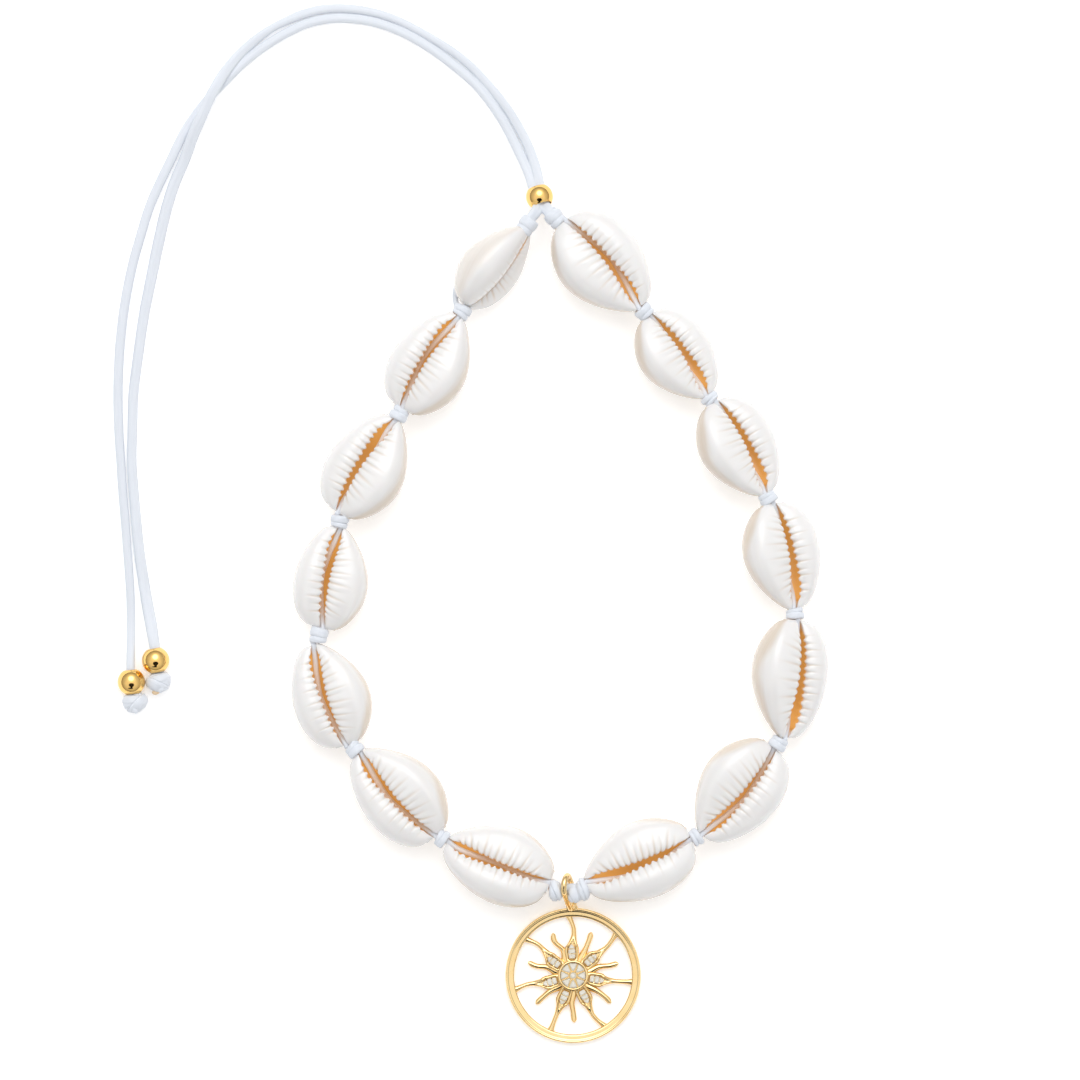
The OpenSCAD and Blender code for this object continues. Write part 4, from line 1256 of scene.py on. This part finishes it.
LEAF_STONES = [(3.25, 4.1, 0.58, 0.66), (4.2, 5.05, 0.68, 0.66), (5.15, 5.95, 0.58, 0.3)]
leaf_stones = []
for k in range(RAYS):
    for near, far, near_half, far_half in LEAF_STONES:
        outline = wedge_outline(near, far, near_half, far_half)
        leaf_stones.append(cut_stone(outline, 0.4, math.radians(FIRST_RAY - k * 360 / RAYS)))
make_piece("crystals_in_rays", leaf_stones, clear_crystal, ["ray_stones"], smooth=False)
print(len(centre_stones) + len(leaf_stones), "stones")

# %% [markdown]
# The choker lies on a plain white sheet, lit as small jewels are photographed. A soft lamp shines from
# above through the middle of a big diffuser, and the pale room around gives hardly any shadow. Toward
# the horizon the room is dim, which gives shells and metal darker edges.

# %% Floor
FLOOR_HALF = 2.0
FLOOR_DROP = 0.00002  # The sheet lies this far under the choker, so that no faces share a plane
FLOOR_GLOW = 0.28  # The sheet gives some light of its own, so that it comes out white


def sheet(name, finish_name, outline, height, deep, pale, patches, settings):
    """A flat sheet of the set, in metres, with so many patches across, of two nearly equal tones."""
    finish, tree, shader = new_finish(finish_name, settings)
    pattern = add(tree, "TexNoise", {"Scale": patches})
    tone = add(tree, "Mix", {"data_type": "RGBA", MIX_A: linear(deep), MIX_B: linear(pale)},
               {MIX_FACTOR: pattern.outputs["Fac"]})
    tree.links.new(tone.outputs[MIX_RESULT], shader.inputs["Base Color"])
    mesh = bpy.data.meshes.new(name)
    mesh.from_pydata([(x, y, height) for x, y in outline], [], [tuple(range(len(outline)))])
    mesh.materials.append(finish)
    flat_piece = bpy.data.objects.new(name, mesh)
    scene.collection.objects.link(flat_piece)
    return flat_piece


square = [(-FLOOR_HALF, -FLOOR_HALF), (FLOOR_HALF, -FLOOR_HALF), (FLOOR_HALF, FLOOR_HALF),
          (-FLOOR_HALF, FLOOR_HALF)]
floor = sheet("floor", "white_sheet", square, -FLOOR_DROP, "#FBFBFB", "#FDFDFD", 40.0, {
    "Roughness": 0.9, "Specular IOR Level": 0.1, "Emission Color": linear("#FFFFFF"),
    "Emission Strength": FLOOR_GLOW})
print("sheet of", 2 * FLOOR_HALF, "metres")

# %% Lights
KEY_DIRECTION = (0.0, 0.50, 0.87)  # Toward the big diffuser over the table
KEY_STRENGTH, KEY_EDGE, KEY_FULL = 0.30, 0.72, 0.93  # Its light starts and is full at these cosines
LAMP_STRENGTH, LAMP_EDGE, LAMP_FULL = 2.3, 0.90, 0.98  # The lamp shining through its middle
ROOM_STRENGTH = 1.02
HORIZON = 0.32  # The room is this much as bright along the horizon as overhead

world = bpy.data.worlds.new("studio")
world.use_nodes = True
tree = world.node_tree
background = tree.nodes["Background"]
direction = add(tree, "TexCoord").outputs["Generated"]
height = add(tree, "SeparateXYZ", {}, {"Vector": direction}).outputs["Z"]
level = add(tree, "MapRange", {"From Min": 0.0, "From Max": 0.8, "To Min": HORIZON, "To Max": 1.0},
            {"Value": height})
patches = add(tree, "TexNoise", {"Scale": 1.3, "Detail": 1.0}, {"Vector": direction})
uneven = add(tree, "MapRange", {
    "From Min": 0.3, "From Max": 0.7, "To Min": 0.93 * ROOM_STRENGTH, "To Max": 1.07 * ROOM_STRENGTH},
    {"Value": patches.outputs["Fac"]})
light = add(tree, "Math", {"operation": "MULTIPLY"},
            {0: level.outputs["Result"], 1: uneven.outputs["Result"]})
key = Vector(KEY_DIRECTION).normalized()
toward = add(tree, "VectorMath", {"operation": "DOT_PRODUCT", 1: key}, {0: direction})
for strength, edge, full in ((KEY_STRENGTH, KEY_EDGE, KEY_FULL), (LAMP_STRENGTH, LAMP_EDGE, LAMP_FULL)):
    lobe = add(tree, "MapRange", {"interpolation_type": "SMOOTHSTEP", "From Min": edge, "From Max": full,
                                  "To Max": strength}, {"Value": toward.outputs["Value"]})
    light = add(tree, "Math", {"operation": "ADD"},
                {0: light.outputs[0], 1: lobe.outputs["Result"]})
tree.links.new(light.outputs[0], background.inputs["Color"])
background.inputs["Strength"].default_value = 1.0
scene.world = world
scene.view_settings.view_transform = "Standard"
print("lamp", LAMP_STRENGTH, "and diffuser", KEY_STRENGTH, "over a room of", ROOM_STRENGTH)

# %% [markdown]
# Polished gold looks flat where all around is pale. A dark card hangs over the set, out of the picture
# and with the light coming past it, and the round gold mirrors it as a dark spot.

# %% A dark card for the metal to mirror
CARD_HEIGHT = 1.25
card_outline = [(0.56 * math.cos(a), 0.46 * math.sin(a) - 0.66)
                for a in np.linspace(-0.95, np.pi + 0.95, 24)]
card_outline += [(-0.25, -1.3), (-1.05, -1.75), (-1.05, -2.1), (0.45, -2.1), (0.25, -1.3)]
card = sheet("dark_card", "dark_card", card_outline, CARD_HEIGHT, "#050505", "#0A0A0A", 50.0,
             {"Roughness": 0.9})
print("dark card", CARD_HEIGHT, "metres up")

# %% [markdown]
# Last, the count of triangles made, in all and in the largest piece.

print("triangles:", sum(triangles_made.values()), "most:", max(triangles_made.values()))
